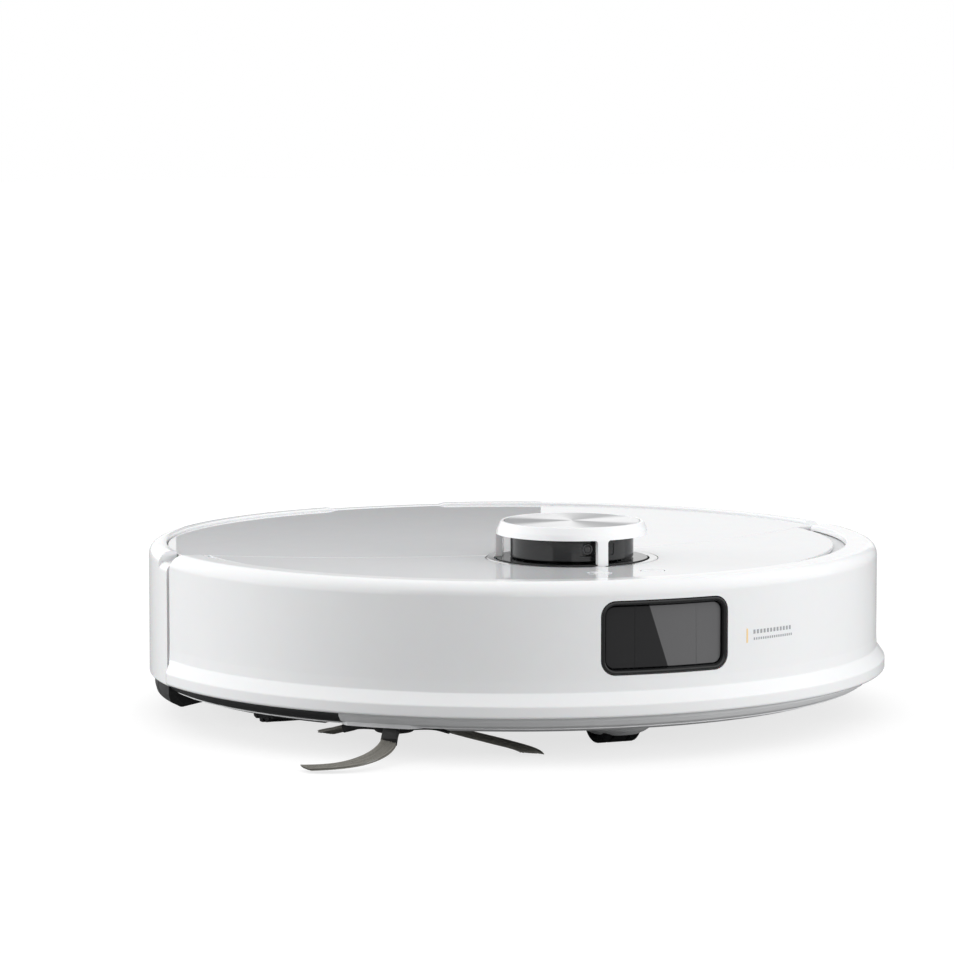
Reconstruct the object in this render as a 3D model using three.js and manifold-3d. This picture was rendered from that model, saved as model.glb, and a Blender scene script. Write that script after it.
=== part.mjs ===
// Robot vacuum, in millimetres. +Z is up and Z = 0 is the floor, -Y is the way the robot drives, and +X is its left side.
// The origin is on the floor, under the middle of the body.
import * as THREE from "three";
import { mergeVertices } from "three/addons/utils/BufferGeometryUtils.js";
import Module from "manifold-3d";

// ---- driving dimensions -------------------------------------------------------------------------------------------

const BODY_RADIUS = 172.5; // outside of the bumper skin and of the rear shell
const FLANGE_RADIUS = 176.5; // foot flange of the bumper
const SKIN = 3; // thickness of the outer skins
const SHELL_BOTTOM = 19; // lower edge of the rear shell
const FLANGE_BOTTOM = 21; // lower edge of the bumper
const PLATE_TOP = 79; // glossy plates on the top
const PLATE_THICKNESS = 1.7;
const RIM_TOP = 81; // raised rim of the rear shell
const LIP_TOP = 80.5; // top lip of the bumper
const LIP_RADIUS = 158; // inner edge of the bumper's lip
const PANEL_RADIUS = 151.7; // edge of the front panel
const COVER_RADIUS = 163.5; // edge of the top cover, at the rear
const BELLY = 12; // underside of the chassis
const BELLY_RADIUS = 148;
const FLOOR_TOP = 18; // inside floor of the chassis
const DECK_BOTTOM = 73.5;
const DECK_TOP = 77;
const DECK_RADIUS = 161;
const GAP = 0.3; // clearance between neighbours

const BUMPER_END = 1.75; // the bumper ends this far in front of the body's middle
const SHELL_START = 1.95; // the rear shell starts this far behind it

const SEAM_CENTRE = 200; // the seam between panel and cover is an arc about this point behind the middle
const SEAM_RADIUS = 250;

const TURRET_Y = -69;
const TURRET_TOP = 96.2;
const CAP_RADIUS = 35; // widest part of the cap, at its lower edge
const CAP_TOP_RADIUS = 32.9;
const CAP_BOTTOM = 90.3;
const DRUM_RADIUS = 28.4;
const BASE_RADIUS = 35.4; // black base disc
const TRIM_RADIUS = 39.5;
const CAP_TRAVEL = 1.5;
const POST = { angles: [-90, 30, 150], width: 5, inner: 32.2, outer: 35.2 }; // degrees, with -90 straight ahead

const WINDOW = { width: 61, height: 32.4, middle: 55.5, corner: 6.5, frame: 2.6 };

const WHEEL = { x: 116, radius: 35, rim: 28.7, width: 24, axle: 3.2 };
const ARM_PIVOT = { y: 38, z: 40, pin: 3 };
const ARM = { inner: 96.5, outer: 102 };
const WELL = { inner: 95, outer: 131.5, front: -38, rear: 45 };

const CASTER = { y: -118, wheel: 12.5, half: 9.5, trail: 3, cup: 19.2, dome: 18.6, bottom: 5 };
const SIDE_BRUSH = { x: -103, y: -107, hub: 9.5, bottom: 10, top: 14.1 };
const ARM_ANGLES = [-117, 3, 123]; // degrees about the side brush axis, for the straight roots

const BAY = { half: 88, front: -62, rear: 2 };
const ROLLER = { y: -30, z: 22, radius: 20.5, core: 13, half: 79 };
const NECK = { half: 25, bottom: 40, top: 48.4 }; // air duct from the roller housing to the bin

const BIN = { half: 80, front: 15, rear: 85, bottom: 34, top: 72, wall: 2 };
const MOP_FRONT = 40;
const SIDES = 72; // facets of the large round parts
const TURRET_SIDES = 48; // facets of the turret's round parts
const CASTER_SIDES = 36;

// ---- materials ----------------------------------------------------------------------------------------------------

const finish = (color, roughness, metalness = 0) => new THREE.MeshStandardMaterial({ color, roughness, metalness });
const glossWhite = () => finish(0xf1f2f2, 0.18);
const paleGrey = () => finish(0xc9cacb, 0.5);
const midGrey = () => finish(0x808284, 0.5);
const black = () => finish(0x18191a, 0.45);
const glossBlack = () => finish(0x0c0d0e, 0.08);
const rubber = () => finish(0x26272a, 0.75);
const steel = () => finish(0xc4c5c6, 0.3, 1);
const copper = () => finish(0xd2a25a, 0.3, 1);
const cloth = () => finish(0xb9bbbd, 0.95);

// ---- solids -------------------------------------------------------------------------------------------------------

const wasm = await Module();
wasm.setup();

// A closed three.js geometry as a solid, with its faces turned outwards.
function solid(geometry) {
  const flat = geometry.index ? geometry.toNonIndexed() : geometry;
  const bare = new THREE.BufferGeometry().setAttribute("position", flat.getAttribute("position"));
  const merged = mergeVertices(bare, 1e-4);
  const corners = merged.index.array;
  const faces = [];
  for (let i = 0; i < corners.length; i += 3) {
    const [a, b, c] = corners.slice(i, i + 3);
    if (a !== b && b !== c && c !== a) faces.push(a, b, c);
  }
  const build = (list) =>
    new wasm.Manifold(
      new wasm.Mesh({
        numProp: 3,
        vertProperties: merged.getAttribute("position").array,
        triVerts: new Uint32Array(list),
      }),
    );
  const made = build(faces);
  return made.volume() > 0 ? made : build(faces.reverse());
}

// A profile of [radius, height] points turned about a vertical axis. It starts and ends on the axis, or closes on itself.
function turned(profile, x = 0, y = 0, sides = SIDES) {
  const points = profile.map(([radius, height]) => new THREE.Vector2(radius, height));
  if (profile[0][0] > 0) points.push(points[0].clone());
  const geometry = new THREE.LatheGeometry(points, sides);
  geometry.rotateX(Math.PI / 2);
  geometry.translate(x, y, 0);
  return solid(geometry);
}

const disc = (radius, bottom, top, x = 0, y = 0, sides = SIDES) =>
  turned([[0, bottom], [radius, bottom], [radius, top], [0, top]], x, y, sides);

const ring = (inner, outer, bottom, top, x = 0, y = 0, sides = SIDES) =>
  turned([[inner, bottom], [outer, bottom], [outer, top], [inner, top]], x, y, sides);

// A box between two limits along each axis.
function block([x0, x1], [y0, y1], [z0, z1]) {
  const geometry = new THREE.BoxGeometry(x1 - x0, y1 - y0, z1 - z0);
  geometry.translate((x0 + x1) / 2, (y0 + y1) / 2, (z0 + z1) / 2);
  return solid(geometry);
}

// A round bar along X.
function bar(radius, [x0, x1], y, z, sides = 24) {
  const geometry = new THREE.CylinderGeometry(radius, radius, x1 - x0, sides);
  geometry.rotateZ(Math.PI / 2);
  geometry.translate((x0 + x1) / 2, y, z);
  return solid(geometry);
}

// An outline in a plane, pushed through that plane: "z" gives a flat plate, "y" a prism along Y and "x" a prism along X.
function prism(outline, axis, start, end) {
  const geometry = new THREE.ExtrudeGeometry(outline, { depth: end - start, bevelEnabled: false, curveSegments: 6 });
  geometry.translate(0, 0, start);
  if (axis === "y") geometry.rotateX(Math.PI / 2).scale(1, -1, 1);
  if (axis === "x") geometry.applyMatrix4(new THREE.Matrix4().set(0, 0, 1, 0, 1, 0, 0, 0, 0, 1, 0, 0, 0, 0, 0, 1));
  return solid(geometry);
}

const polygon = (points) => new THREE.Shape(points.map(([u, v]) => new THREE.Vector2(u, v)));

function roundedRectangle(width, height, radius, middle) {
  const shape = new THREE.Shape();
  const u = width / 2 - radius;
  const v = height / 2 - radius;
  shape.absarc(u, middle - v, radius, -Math.PI / 2, 0);
  shape.absarc(u, middle + v, radius, 0, Math.PI / 2);
  shape.absarc(-u, middle + v, radius, Math.PI / 2, Math.PI);
  shape.absarc(-u, middle - v, radius, Math.PI, (3 * Math.PI) / 2);
  return shape;
}

const FAR = 300; // beyond every part, for the blocks that cut whole halves away
const aheadOf = (y) => block([-FAR, FAR], [-FAR, y], [-FAR, FAR]);
const behind = (y) => block([-FAR, FAR], [y, FAR], [-FAR, FAR]);

const robot = new THREE.Group();
robot.name = "robot_vacuum";

// Adds a solid to the robot as one named mesh.
function add(name, made, material) {
  const { numProp, vertProperties, triVerts } = made.getMesh();
  const positions = new Float32Array((vertProperties.length / numProp) * 3);
  for (let i = 0; i < positions.length / 3; i++) {
    positions.set(vertProperties.subarray(i * numProp, i * numProp + 3), i * 3);
  }
  const geometry = new THREE.BufferGeometry();
  geometry.setAttribute("position", new THREE.BufferAttribute(positions, 3));
  geometry.setIndex(new THREE.BufferAttribute(triVerts, 1));
  geometry.computeVertexNormals();
  const mesh = new THREE.Mesh(geometry, material);
  mesh.name = name;
  robot.add(mesh);
}

const SIDE_NAMES = [
  ["left", 1],
  ["right", -1],
];

// ---- bumper: a half ring with a top lip and a foot flange, and the sensor window in it ------------------------------

const inner = BODY_RADIUS - SKIN;
const bumperProfile = [
  [inner, 33],
  [inner, 72],
  [inner - 5, LIP_TOP - SKIN],
  [LIP_RADIUS, LIP_TOP - SKIN],
  [LIP_RADIUS, LIP_TOP],
  [BODY_RADIUS - 7.5, LIP_TOP],
  [BODY_RADIUS - 3.4, LIP_TOP - 1.2],
  [BODY_RADIUS - 0.9, LIP_TOP - 3.8],
  [BODY_RADIUS, LIP_TOP - 7.5],
  [BODY_RADIUS, 33],
  [FLANGE_RADIUS - 2.5, 30],
  [FLANGE_RADIUS, 27],
  [FLANGE_RADIUS, FLANGE_BOTTOM],
  [FLANGE_RADIUS - 6, FLANGE_BOTTOM],
];
const windowHole = prism(
  roundedRectangle(WINDOW.width + 2 * GAP, WINDOW.height + 2 * GAP, WINDOW.corner + GAP, WINDOW.middle),
  "y", -FAR, -BELLY_RADIUS);
const bumper = turned(bumperProfile).intersect(aheadOf(-BUMPER_END)).subtract(windowHole);
add("bumper_shell", bumper, glossWhite());

const windowOuter = prism(
  roundedRectangle(WINDOW.width, WINDOW.height, WINDOW.corner, WINDOW.middle), "y", -FAR, -BELLY_RADIUS);
const paneWidth = WINDOW.width - 2 * WINDOW.frame;
const paneHeight = WINDOW.height - 2 * WINDOW.frame;
const paneCorner = WINDOW.corner - WINDOW.frame;
const windowInner = prism(
  roundedRectangle(paneWidth, paneHeight, paneCorner, WINDOW.middle), "y", -FAR, -BELLY_RADIUS);
const bezelRing = ring(166.5, 172.9, 20, 90).intersect(aheadOf(-100));
add("window_bezel", bezelRing.intersect(windowOuter).subtract(windowInner), glossBlack());
const pane = prism(
  roundedRectangle(paneWidth - 2 * GAP, paneHeight - 2 * GAP, paneCorner - GAP, WINDOW.middle),
  "y", -FAR, -BELLY_RADIUS);
add("window_glass", ring(167.5, 170.6, 20, 90).intersect(aheadOf(-100)).intersect(pane), glossBlack());

// ---- rear shell: the other half ring, with a raised rim that has a finger notch at the rear --------------------------

const RIM_START = 15; // the raised rim begins this far behind the middle
const LEDGE_TOP = 75.6;
const NOTCH = { half: 27, ramp: 4 };
const shellProfile = [
  [inner, SHELL_BOTTOM],
  [BODY_RADIUS, SHELL_BOTTOM],
  [BODY_RADIUS, RIM_TOP - 6.5],
  [BODY_RADIUS - 0.9, RIM_TOP - 3.2],
  [BODY_RADIUS - 2.9, RIM_TOP - 0.9],
  [BODY_RADIUS - 5.5, RIM_TOP],
  [COVER_RADIUS + 0.5, RIM_TOP],
  [COVER_RADIUS + 0.5, PLATE_TOP - PLATE_THICKNESS],
  [inner - 2.5, PLATE_TOP - PLATE_THICKNESS],
  [inner, LEDGE_TOP - 2],
];
const notch = prism(
  polygon([[-NOTCH.half, PLATE_TOP], [NOTCH.half, PLATE_TOP],
    [NOTCH.half + NOTCH.ramp, RIM_TOP + 1], [-NOTCH.half - NOTCH.ramp, RIM_TOP + 1]]),
  "y", 140, FAR);
const CONTACT = { angle: 10.7, width: 15, bottom: 30, top: 37 }; // the angle is measured from straight behind
let rearShell = turned(shellProfile)
  .intersect(behind(SHELL_START))
  .subtract(notch)
  .subtract(block([-FAR, FAR], [0, RIM_START], [LEDGE_TOP, RIM_TOP + 1]));
const GRILLE = { count: 9, first: 34, step: 2.6, bottom: 34, top: 58, width: 3 };
for (let i = 0; i < GRILLE.count; i++) {
  const slot = block([140, 200], [-GRILLE.width / 2, GRILLE.width / 2], [GRILLE.bottom, GRILLE.top]);
  rearShell = rearShell.subtract(slot.rotate([0, 0, GRILLE.first + i * GRILLE.step]));
}
// A charge contact's block, made larger by spare on every side, between two distances from the middle.
const contactBlock = (side, spare, from, to) =>
  block([-CONTACT.width / 2 - spare, CONTACT.width / 2 + spare], [from, to],
    [CONTACT.bottom - spare, CONTACT.top + spare])
    .rotate([0, 0, -side * CONTACT.angle]);
for (const [name, side] of SIDE_NAMES) {
  rearShell = rearShell.subtract(contactBlock(side, GAP, 160, 200));
  add("charge_contact_" + name, contactBlock(side, 0, inner - 2, BODY_RADIUS - 0.1), copper());
}
add("rear_shell", rearShell, glossWhite());

// ---- chassis: base, inner wall, deck and black underbody -------------------------------------------------------------

const REAR_FLOOR = 15.5; // underside of the floor above the mop
const bay = block([-BAY.half - 0.4, BAY.half + 0.4], [BAY.front - 0.4, BAY.rear + 0.4], [0, 60]);
const UNDERBODY = { inner: 150.5, outer: 170, bottom: 8, start: 8, seam: 30 };
const BRUSH_RECESS = { radius: 31, top: 14.5, boss: 24 };
let base = disc(BELLY_RADIUS, BELLY, FLOOR_TOP)
  .add(disc(166, 15, FLOOR_TOP).intersect(aheadOf(UNDERBODY.start - GAP)))
  .subtract(disc(BRUSH_RECESS.radius, 0, BRUSH_RECESS.top, SIDE_BRUSH.x, SIDE_BRUSH.y, 48))
  .add(disc(BRUSH_RECESS.boss, BRUSH_RECESS.top, FLOOR_TOP, SIDE_BRUSH.x, SIDE_BRUSH.y, 48)
    .intersect(disc(168, BELLY, FLOOR_TOP)))
  .subtract(bay)
  .subtract(disc(26.4, 0, 60, 0, CASTER.y, CASTER_SIDES))
  .subtract(disc(4.4, 0, 60, SIDE_BRUSH.x, SIDE_BRUSH.y, 24))
  .subtract(block([-FAR, FAR], [MOP_FRONT - 2, FAR], [0, REAR_FLOOR]));
const LIFT_ROD = { x: 60, y: 105, radius: 4, top: 30 };
const DROP_SENSOR = { width: 16, depth: 7, bottom: 11.6, top: 14.6 };
const dropSensors = [
  ["front_left", 62, -120],
  ["front_right", -62, -120],
  ["side_left", 126, -58],
  ["side_right", -126, -58],
];
const sensorBlock = (x, y, spare) =>
  block([x - DROP_SENSOR.width / 2 - spare, x + DROP_SENSOR.width / 2 + spare],
    [y - DROP_SENSOR.depth / 2 - spare, y + DROP_SENSOR.depth / 2 + spare],
    [DROP_SENSOR.bottom - spare, DROP_SENSOR.top + spare]);
for (const [, side] of SIDE_NAMES) {
  const edges = [side * WELL.inner, side * WELL.outer].sort((a, b) => a - b);
  base = base
    .subtract(block(edges, [WELL.front, WELL.rear], [0, 60]))
    .subtract(disc(LIFT_ROD.radius + 0.6, 0, 60, side * LIFT_ROD.x, LIFT_ROD.y, 24));
}
for (const [name, x, y] of dropSensors) {
  base = base.subtract(sensorBlock(x, y, GAP));
  add("drop_sensor_" + name, sensorBlock(x, y, 0), glossBlack());
}
add("chassis_base", base, paleGrey());

const MODULE = { half: 28, front: -159.5, rear: -148, bottom: 42, top: 69 };
const wall = ring(157.5, 159.8, FLOOR_TOP + GAP, DECK_BOTTOM - GAP)
  .subtract(block([-MODULE.half - 1, MODULE.half + 1], [-FAR, -100], [MODULE.bottom - 1, MODULE.top + 1]))
  .subtract(disc(16, 0, 50, SIDE_BRUSH.x, SIDE_BRUSH.y, 24));
add("chassis_wall", wall, midGrey());
add("sensor_module",
  block([-MODULE.half, MODULE.half], [MODULE.front, MODULE.rear], [MODULE.bottom, MODULE.top]), black());

const BUTTON = { x: 13, y: -129, radius: 5.4, bottom: 75 };
const buttonHoles = disc(BUTTON.radius + GAP, 60, 90, BUTTON.x, BUTTON.y, 32)
  .add(disc(BUTTON.radius + GAP, 60, 90, -BUTTON.x, BUTTON.y, 32));
const binHole = block([-BIN.half - 0.6, BIN.half + 0.6], [BIN.front - 0.6, BIN.rear + 0.6], [60, 90]);
add("upper_deck",
  disc(DECK_RADIUS, DECK_BOTTOM, DECK_TOP)
    .subtract(disc(BASE_RADIUS + 0.4, 60, 90, 0, TURRET_Y, TURRET_SIDES))
    .subtract(binHole)
    .subtract(buttonHoles),
  paleGrey());

const underbodyProfile = [
  [UNDERBODY.inner, UNDERBODY.bottom + 2.5],
  [UNDERBODY.outer - 6, UNDERBODY.bottom],
  [UNDERBODY.outer - 1, UNDERBODY.bottom + 2.5],
  [UNDERBODY.outer, UNDERBODY.bottom + 6],
  [UNDERBODY.outer, SHELL_BOTTOM - GAP],
  [DECK_RADIUS, SHELL_BOTTOM - GAP],
  [DECK_RADIUS, FLOOR_TOP],
  [UNDERBODY.inner, FLOOR_TOP],
];
const REAR_TAB = 45; // half width of the docking tab at the rear
const tab = ring(UNDERBODY.inner, FLANGE_RADIUS, UNDERBODY.bottom + 2.5, 15)
  .intersect(block([-REAR_TAB, REAR_TAB], [100, FAR], [0, 30]));
const seamGroove = block([-FAR, FAR], [UNDERBODY.seam, UNDERBODY.seam + 0.8], [0, 30])
  .subtract(disc(UNDERBODY.outer - 1.2, 0, 40));
add("rear_underbody",
  turned(underbodyProfile).intersect(behind(UNDERBODY.start)).add(tab).subtract(seamGroove), black());

// ---- top: front panel, lift-off cover and buttons --------------------------------------------------------------------

const plateBottom = PLATE_TOP - PLATE_THICKNESS;
const turretHole = disc(TRIM_RADIUS + GAP, 60, 90, 0, TURRET_Y, TURRET_SIDES);
const seam = (offset) => disc(SEAM_RADIUS + offset, 60, 90, 0, SEAM_CENTRE, 120);
const STEP_Y = 2.2; // the cover widens to its full radius behind this line
add("front_panel",
  disc(PANEL_RADIUS, plateBottom, PLATE_TOP).subtract(seam(0.15)).subtract(turretHole).subtract(buttonHoles),
  glossWhite());
add("top_cover",
  disc(PANEL_RADIUS, plateBottom, PLATE_TOP)
    .intersect(seam(-0.15))
    .add(disc(COVER_RADIUS, plateBottom, PLATE_TOP).intersect(behind(STEP_Y)))
    .subtract(turretHole),
  glossWhite());
add("power_button", disc(BUTTON.radius, BUTTON.bottom, PLATE_TOP, BUTTON.x, BUTTON.y, 32), glossWhite());
add("dock_button", disc(BUTTON.radius, BUTTON.bottom, PLATE_TOP, -BUTTON.x, BUTTON.y, 32), glossWhite());

// ---- laser turret ----------------------------------------------------------------------------------------------------

const BASE_TOP = 79.4;
const POST_BOTTOM = 77.8;
const DRUM_NECK = 20;
const PULLEY = { x: 44, y: -44, radius: 5, bottom: 66, top: 69.5 };

// One post of the cap, as a sector of a ring, made wider by spare on every side.
function post(angle, bottom, spare) {
  const half = POST.width / 2 + spare;
  return ring(POST.inner - spare, POST.outer + spare, bottom, CAP_BOTTOM + 0.5)
    .intersect(block([0, 60], [-half, half], [0, 120]))
    .rotate([0, 0, angle])
    .translate([0, TURRET_Y, 0]);
}

add("turret_trim", ring(BASE_RADIUS + 0.4, TRIM_RADIUS, plateBottom, PLATE_TOP + 0.6, 0, TURRET_Y, TURRET_SIDES), steel());
let turretBase = ring(DRUM_NECK + 1, BASE_RADIUS, 74, BASE_TOP, 0, TURRET_Y, TURRET_SIDES);
let cap = turned([
  [0, 92.5],
  [31, 92.5],
  [31, CAP_BOTTOM],
  [CAP_RADIUS - 0.4, CAP_BOTTOM],
  [CAP_RADIUS, CAP_BOTTOM + 0.8],
  [CAP_RADIUS - 0.9, 93.4],
  [CAP_TOP_RADIUS + 0.4, TURRET_TOP - 0.5],
  [CAP_TOP_RADIUS, TURRET_TOP],
  [31.4, TURRET_TOP],
  [31.4, 95.3],
  [0, 95.3],
], 0, TURRET_Y, TURRET_SIDES);
for (const angle of POST.angles) {
  turretBase = turretBase.subtract(post(angle, POST_BOTTOM - CAP_TRAVEL - GAP, 0.4));
  cap = cap.add(post(angle, POST_BOTTOM, 0));
}
add("turret_base", turretBase, glossBlack());
add("turret_cap", cap, glossWhite());
add("cap_disc", disc(31, 95.6, 96.1, 0, TURRET_Y, TURRET_SIDES), steel());
add("laser_drum",
  turned([
    [0, PULLEY.bottom],
    [DRUM_NECK, PULLEY.bottom],
    [DRUM_NECK, BASE_TOP + 0.6],
    [DRUM_RADIUS, BASE_TOP + 0.6],
    [DRUM_RADIUS, 89.6],
    [DRUM_RADIUS - 1, 90.2],
    [0, 90.2],
  ], 0, TURRET_Y, TURRET_SIDES)
    .subtract(block([-9, 9], [TURRET_Y - 40, TURRET_Y - 26.5], [81.5, 88.6])),
  glossBlack());
add("laser_pulley", disc(PULLEY.radius, PULLEY.bottom, PULLEY.top, PULLEY.x, PULLEY.y, 24), steel());
add("laser_motor", disc(10, 56.5, PULLEY.bottom - GAP, PULLEY.x, PULLEY.y, 24), black());

// The belt runs round the drum's neck and the motor's pulley, so its outline is two arcs joined by their tangents.
function beltOutline(spare) {
  const dx = PULLEY.x;
  const dy = PULLEY.y - TURRET_Y;
  const towards = Math.atan2(dy, dx);
  const spread = Math.acos((DRUM_NECK - PULLEY.radius) / Math.hypot(dx, dy));
  const shape = new THREE.Shape();
  shape.absarc(0, TURRET_Y, DRUM_NECK + spare, towards + spread, towards - spread + 2 * Math.PI);
  shape.absarc(PULLEY.x, PULLEY.y, PULLEY.radius + spare, towards - spread, towards + spread);
  return shape;
}
add("laser_belt",
  prism(beltOutline(1.6), "z", PULLEY.bottom + 0.5, PULLEY.top - 0.5)
    .subtract(prism(beltOutline(0.5), "z", PULLEY.bottom, PULLEY.top)),
  rubber());

// ---- drive wheels on their swing arms --------------------------------------------------------------------------------

for (const [name, side] of SIDE_NAMES) {
  const across = (a, b) => [side * a, side * b].sort((p, q) => p - q);
  const half = WHEEL.width / 2;
  const well = block(across(92, 94.2), [WELL.front, WELL.rear - 0.6], [FLOOR_TOP + GAP, 71.2])
    .add(block(across(92, 134), [WELL.front, WELL.rear - 0.6], [71.2, 73.2]))
    .add(bar(ARM_PIVOT.pin, across(94, ARM.outer + 1), ARM_PIVOT.y, ARM_PIVOT.z));
  add("wheel_well_" + name, well, midGrey());

  const outline = polygon([[-10, 24], [12, 26], [43, 35.5], [43, 46], [34, 48], [4, 47], [-10, 45]]);
  const arm = prism(outline, "x", ...across(ARM.inner, ARM.outer))
    .subtract(bar(ARM_PIVOT.pin + 0.4, across(90, 110), ARM_PIVOT.y, ARM_PIVOT.z))
    .add(bar(WHEEL.axle, across(ARM.outer - 1, WHEEL.x + 6), 0, WHEEL.radius));
  add("suspension_arm_" + name, arm, black());

  const rim = bar(WHEEL.rim, across(WHEEL.x - half + 0.5, WHEEL.x + half - 1.5), 0, WHEEL.radius, 48)
    .subtract(bar(WHEEL.rim - 4, across(WHEEL.x + half - 4, WHEEL.x + half), 0, WHEEL.radius, 36))
    .subtract(bar(WHEEL.axle + 0.5, across(WHEEL.x - half - 1, WHEEL.x + 7), 0, WHEEL.radius));
  add("wheel_rim_" + name, rim, midGrey());
  const tyre = bar(WHEEL.radius, across(WHEEL.x - half, WHEEL.x + half), 0, WHEEL.radius, 48)
    .subtract(bar(WHEEL.rim + GAP, across(WHEEL.x - half - 1, WHEEL.x + half + 1), 0, WHEEL.radius, 48));
  add("tyre_" + name, tyre, rubber());
}

// ---- caster ----------------------------------------------------------------------------------------------------------

const CASTER_CEILING = 29;
const casterAxleY = CASTER.y + CASTER.trail;
add("caster_housing",
  turned([
    [CASTER.cup, BELLY - 0.6],
    [25, BELLY - 0.6],
    [26, BELLY],
    [23, BELLY + GAP],
    [23, CASTER_CEILING + 3],
    [3.6, CASTER_CEILING + 3],
    [3.6, CASTER_CEILING],
    [CASTER.cup, CASTER_CEILING],
  ], 0, CASTER.y, CASTER_SIDES),
  midGrey());
// The fork is a dome that turns with the wheel, and the wheel sits in a slot through it.
let fork = turned([
  [0, CASTER.bottom],
  [11.5, CASTER.bottom],
  [15.5, CASTER.bottom + 2.4],
  [CASTER.dome, BELLY],
  [CASTER.dome, CASTER_CEILING - 0.5],
  [3.1, CASTER_CEILING - 0.5],
  [3.1, CASTER_CEILING + 2.6],
  [0, CASTER_CEILING + 2.6],
], 0, CASTER.y, CASTER_SIDES)
  .subtract(block([-CASTER.half - 0.7, CASTER.half + 0.7],
    [casterAxleY - CASTER.wheel - 0.8, casterAxleY + CASTER.wheel + 0.8], [0, 2 * CASTER.wheel + 0.8]));
fork = fork.add(bar(1.6, [-CASTER.half - 2, CASTER.half + 2], casterAxleY, CASTER.wheel));
add("caster_fork", fork, black());
add("caster_wheel",
  bar(CASTER.wheel, [-CASTER.half, CASTER.half], casterAxleY, CASTER.wheel, 36)
    .subtract(bar(2.1, [-20, 20], casterAxleY, CASTER.wheel, 18)),
  rubber());

// ---- side brush ------------------------------------------------------------------------------------------------------

const ROOT_LENGTH = 26; // rubber root of each arm, from the axis
let hub = disc(SIDE_BRUSH.hub, SIDE_BRUSH.bottom, SIDE_BRUSH.top, 0, 0, 32)
  .add(disc(4, SIDE_BRUSH.bottom + 1, 17.5, 0, 0, 24));
const rootOutline = polygon([[4, 10.1], [16, 10.1], [ROOT_LENGTH, 7], [ROOT_LENGTH, 11.4], [17, 14], [4, 14]]);
const root = prism(rootOutline, "y", -3.6, 3.6);
// The bristles trail behind the root, curve down and end near the floor.
const bristlePath = new THREE.CatmullRomCurve3(
  [[ROOT_LENGTH + 1.2, 0, 9], [37, -4, 6], [46, -16, 3.4], [50, -36, 1.8]]
    .map((point) => new THREE.Vector3(...point)));
const bristleSection = polygon([[-2.8, -0.6], [2.8, -0.6], [2.8, 0.6], [-2.8, 0.6]]);
const bristle = solid(
  new THREE.ExtrudeGeometry(bristleSection, { steps: 8, extrudePath: bristlePath, bevelEnabled: false }));
ARM_ANGLES.forEach((angle, i) => {
  hub = hub.add(root.rotate([0, 0, angle]));
  add("side_brush_bristle_" + (i + 1),
    bristle.rotate([0, 0, angle]).translate([SIDE_BRUSH.x, SIDE_BRUSH.y, 0]), midGrey());
});
add("side_brush_hub", hub.translate([SIDE_BRUSH.x, SIDE_BRUSH.y, 0]), rubber());
add("side_brush_motor", disc(14, FLOOR_TOP + GAP, 42, SIDE_BRUSH.x, SIDE_BRUSH.y, 32), black());

// ---- main roller in its housing --------------------------------------------------------------------------------------

const HOUSING = { top: 47.8, cavity: 23.5, end: 84 };
const neckOuter = block([-NECK.half, NECK.half], [-12, BIN.front - GAP], [NECK.bottom - 2, NECK.top + 2]);
const neckInner = block([-NECK.half + 2, NECK.half - 2], [-22, 30], [NECK.bottom, NECK.top]);
const housing = block([-BAY.half, BAY.half], [BAY.front, BAY.rear], [BELLY + GAP, HOUSING.top])
  .add(neckOuter)
  .subtract(bar(HOUSING.cavity, [-HOUSING.end, HOUSING.end], ROLLER.y, ROLLER.z, 36))
  .subtract(block([-HOUSING.end, HOUSING.end],
    [ROLLER.y - HOUSING.cavity, ROLLER.y + HOUSING.cavity], [0, ROLLER.z]))
  .subtract(neckInner)
  .subtract(bar(3.5, [-FAR, FAR], ROLLER.y, ROLLER.z, 18));
add("brush_housing", housing, midGrey());

const FIN_COUNT = 8;
const rollerOutline = new THREE.Shape();
for (let i = 0; i < FIN_COUNT; i++) {
  const start = (i * 2 * Math.PI) / FIN_COUNT;
  for (const [share, radius] of [[0, ROLLER.radius], [0.16, ROLLER.radius], [0.26, ROLLER.core], [0.9, ROLLER.core]]) {
    const angle = start + (share * 2 * Math.PI) / FIN_COUNT;
    const point = [ROLLER.y + radius * Math.cos(angle), ROLLER.z + radius * Math.sin(angle)];
    if (i === 0 && share === 0) rollerOutline.moveTo(...point);
    else rollerOutline.lineTo(...point);
  }
}
add("main_roller",
  prism(rollerOutline, "x", -ROLLER.half, ROLLER.half)
    .add(bar(3, [-BAY.half + 0.5, BAY.half - 0.5], ROLLER.y, ROLLER.z, 18)),
  rubber());
add("brush_guard",
  block([-94, 94], [BAY.front - 5, BAY.rear + 5], [8.6, BELLY - GAP])
    .subtract(block([-82, 82], [-53, -6], [0, 20])),
  black());
add("brush_gearbox", block([88.4, 91.6], [-46, -8], [FLOOR_TOP + GAP, 60]), black());
add("brush_motor", bar(9, [58, 88], -17, 62, 24), steel());

// ---- air path: bin, filter, lid and fan ------------------------------------------------------------------------------

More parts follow.
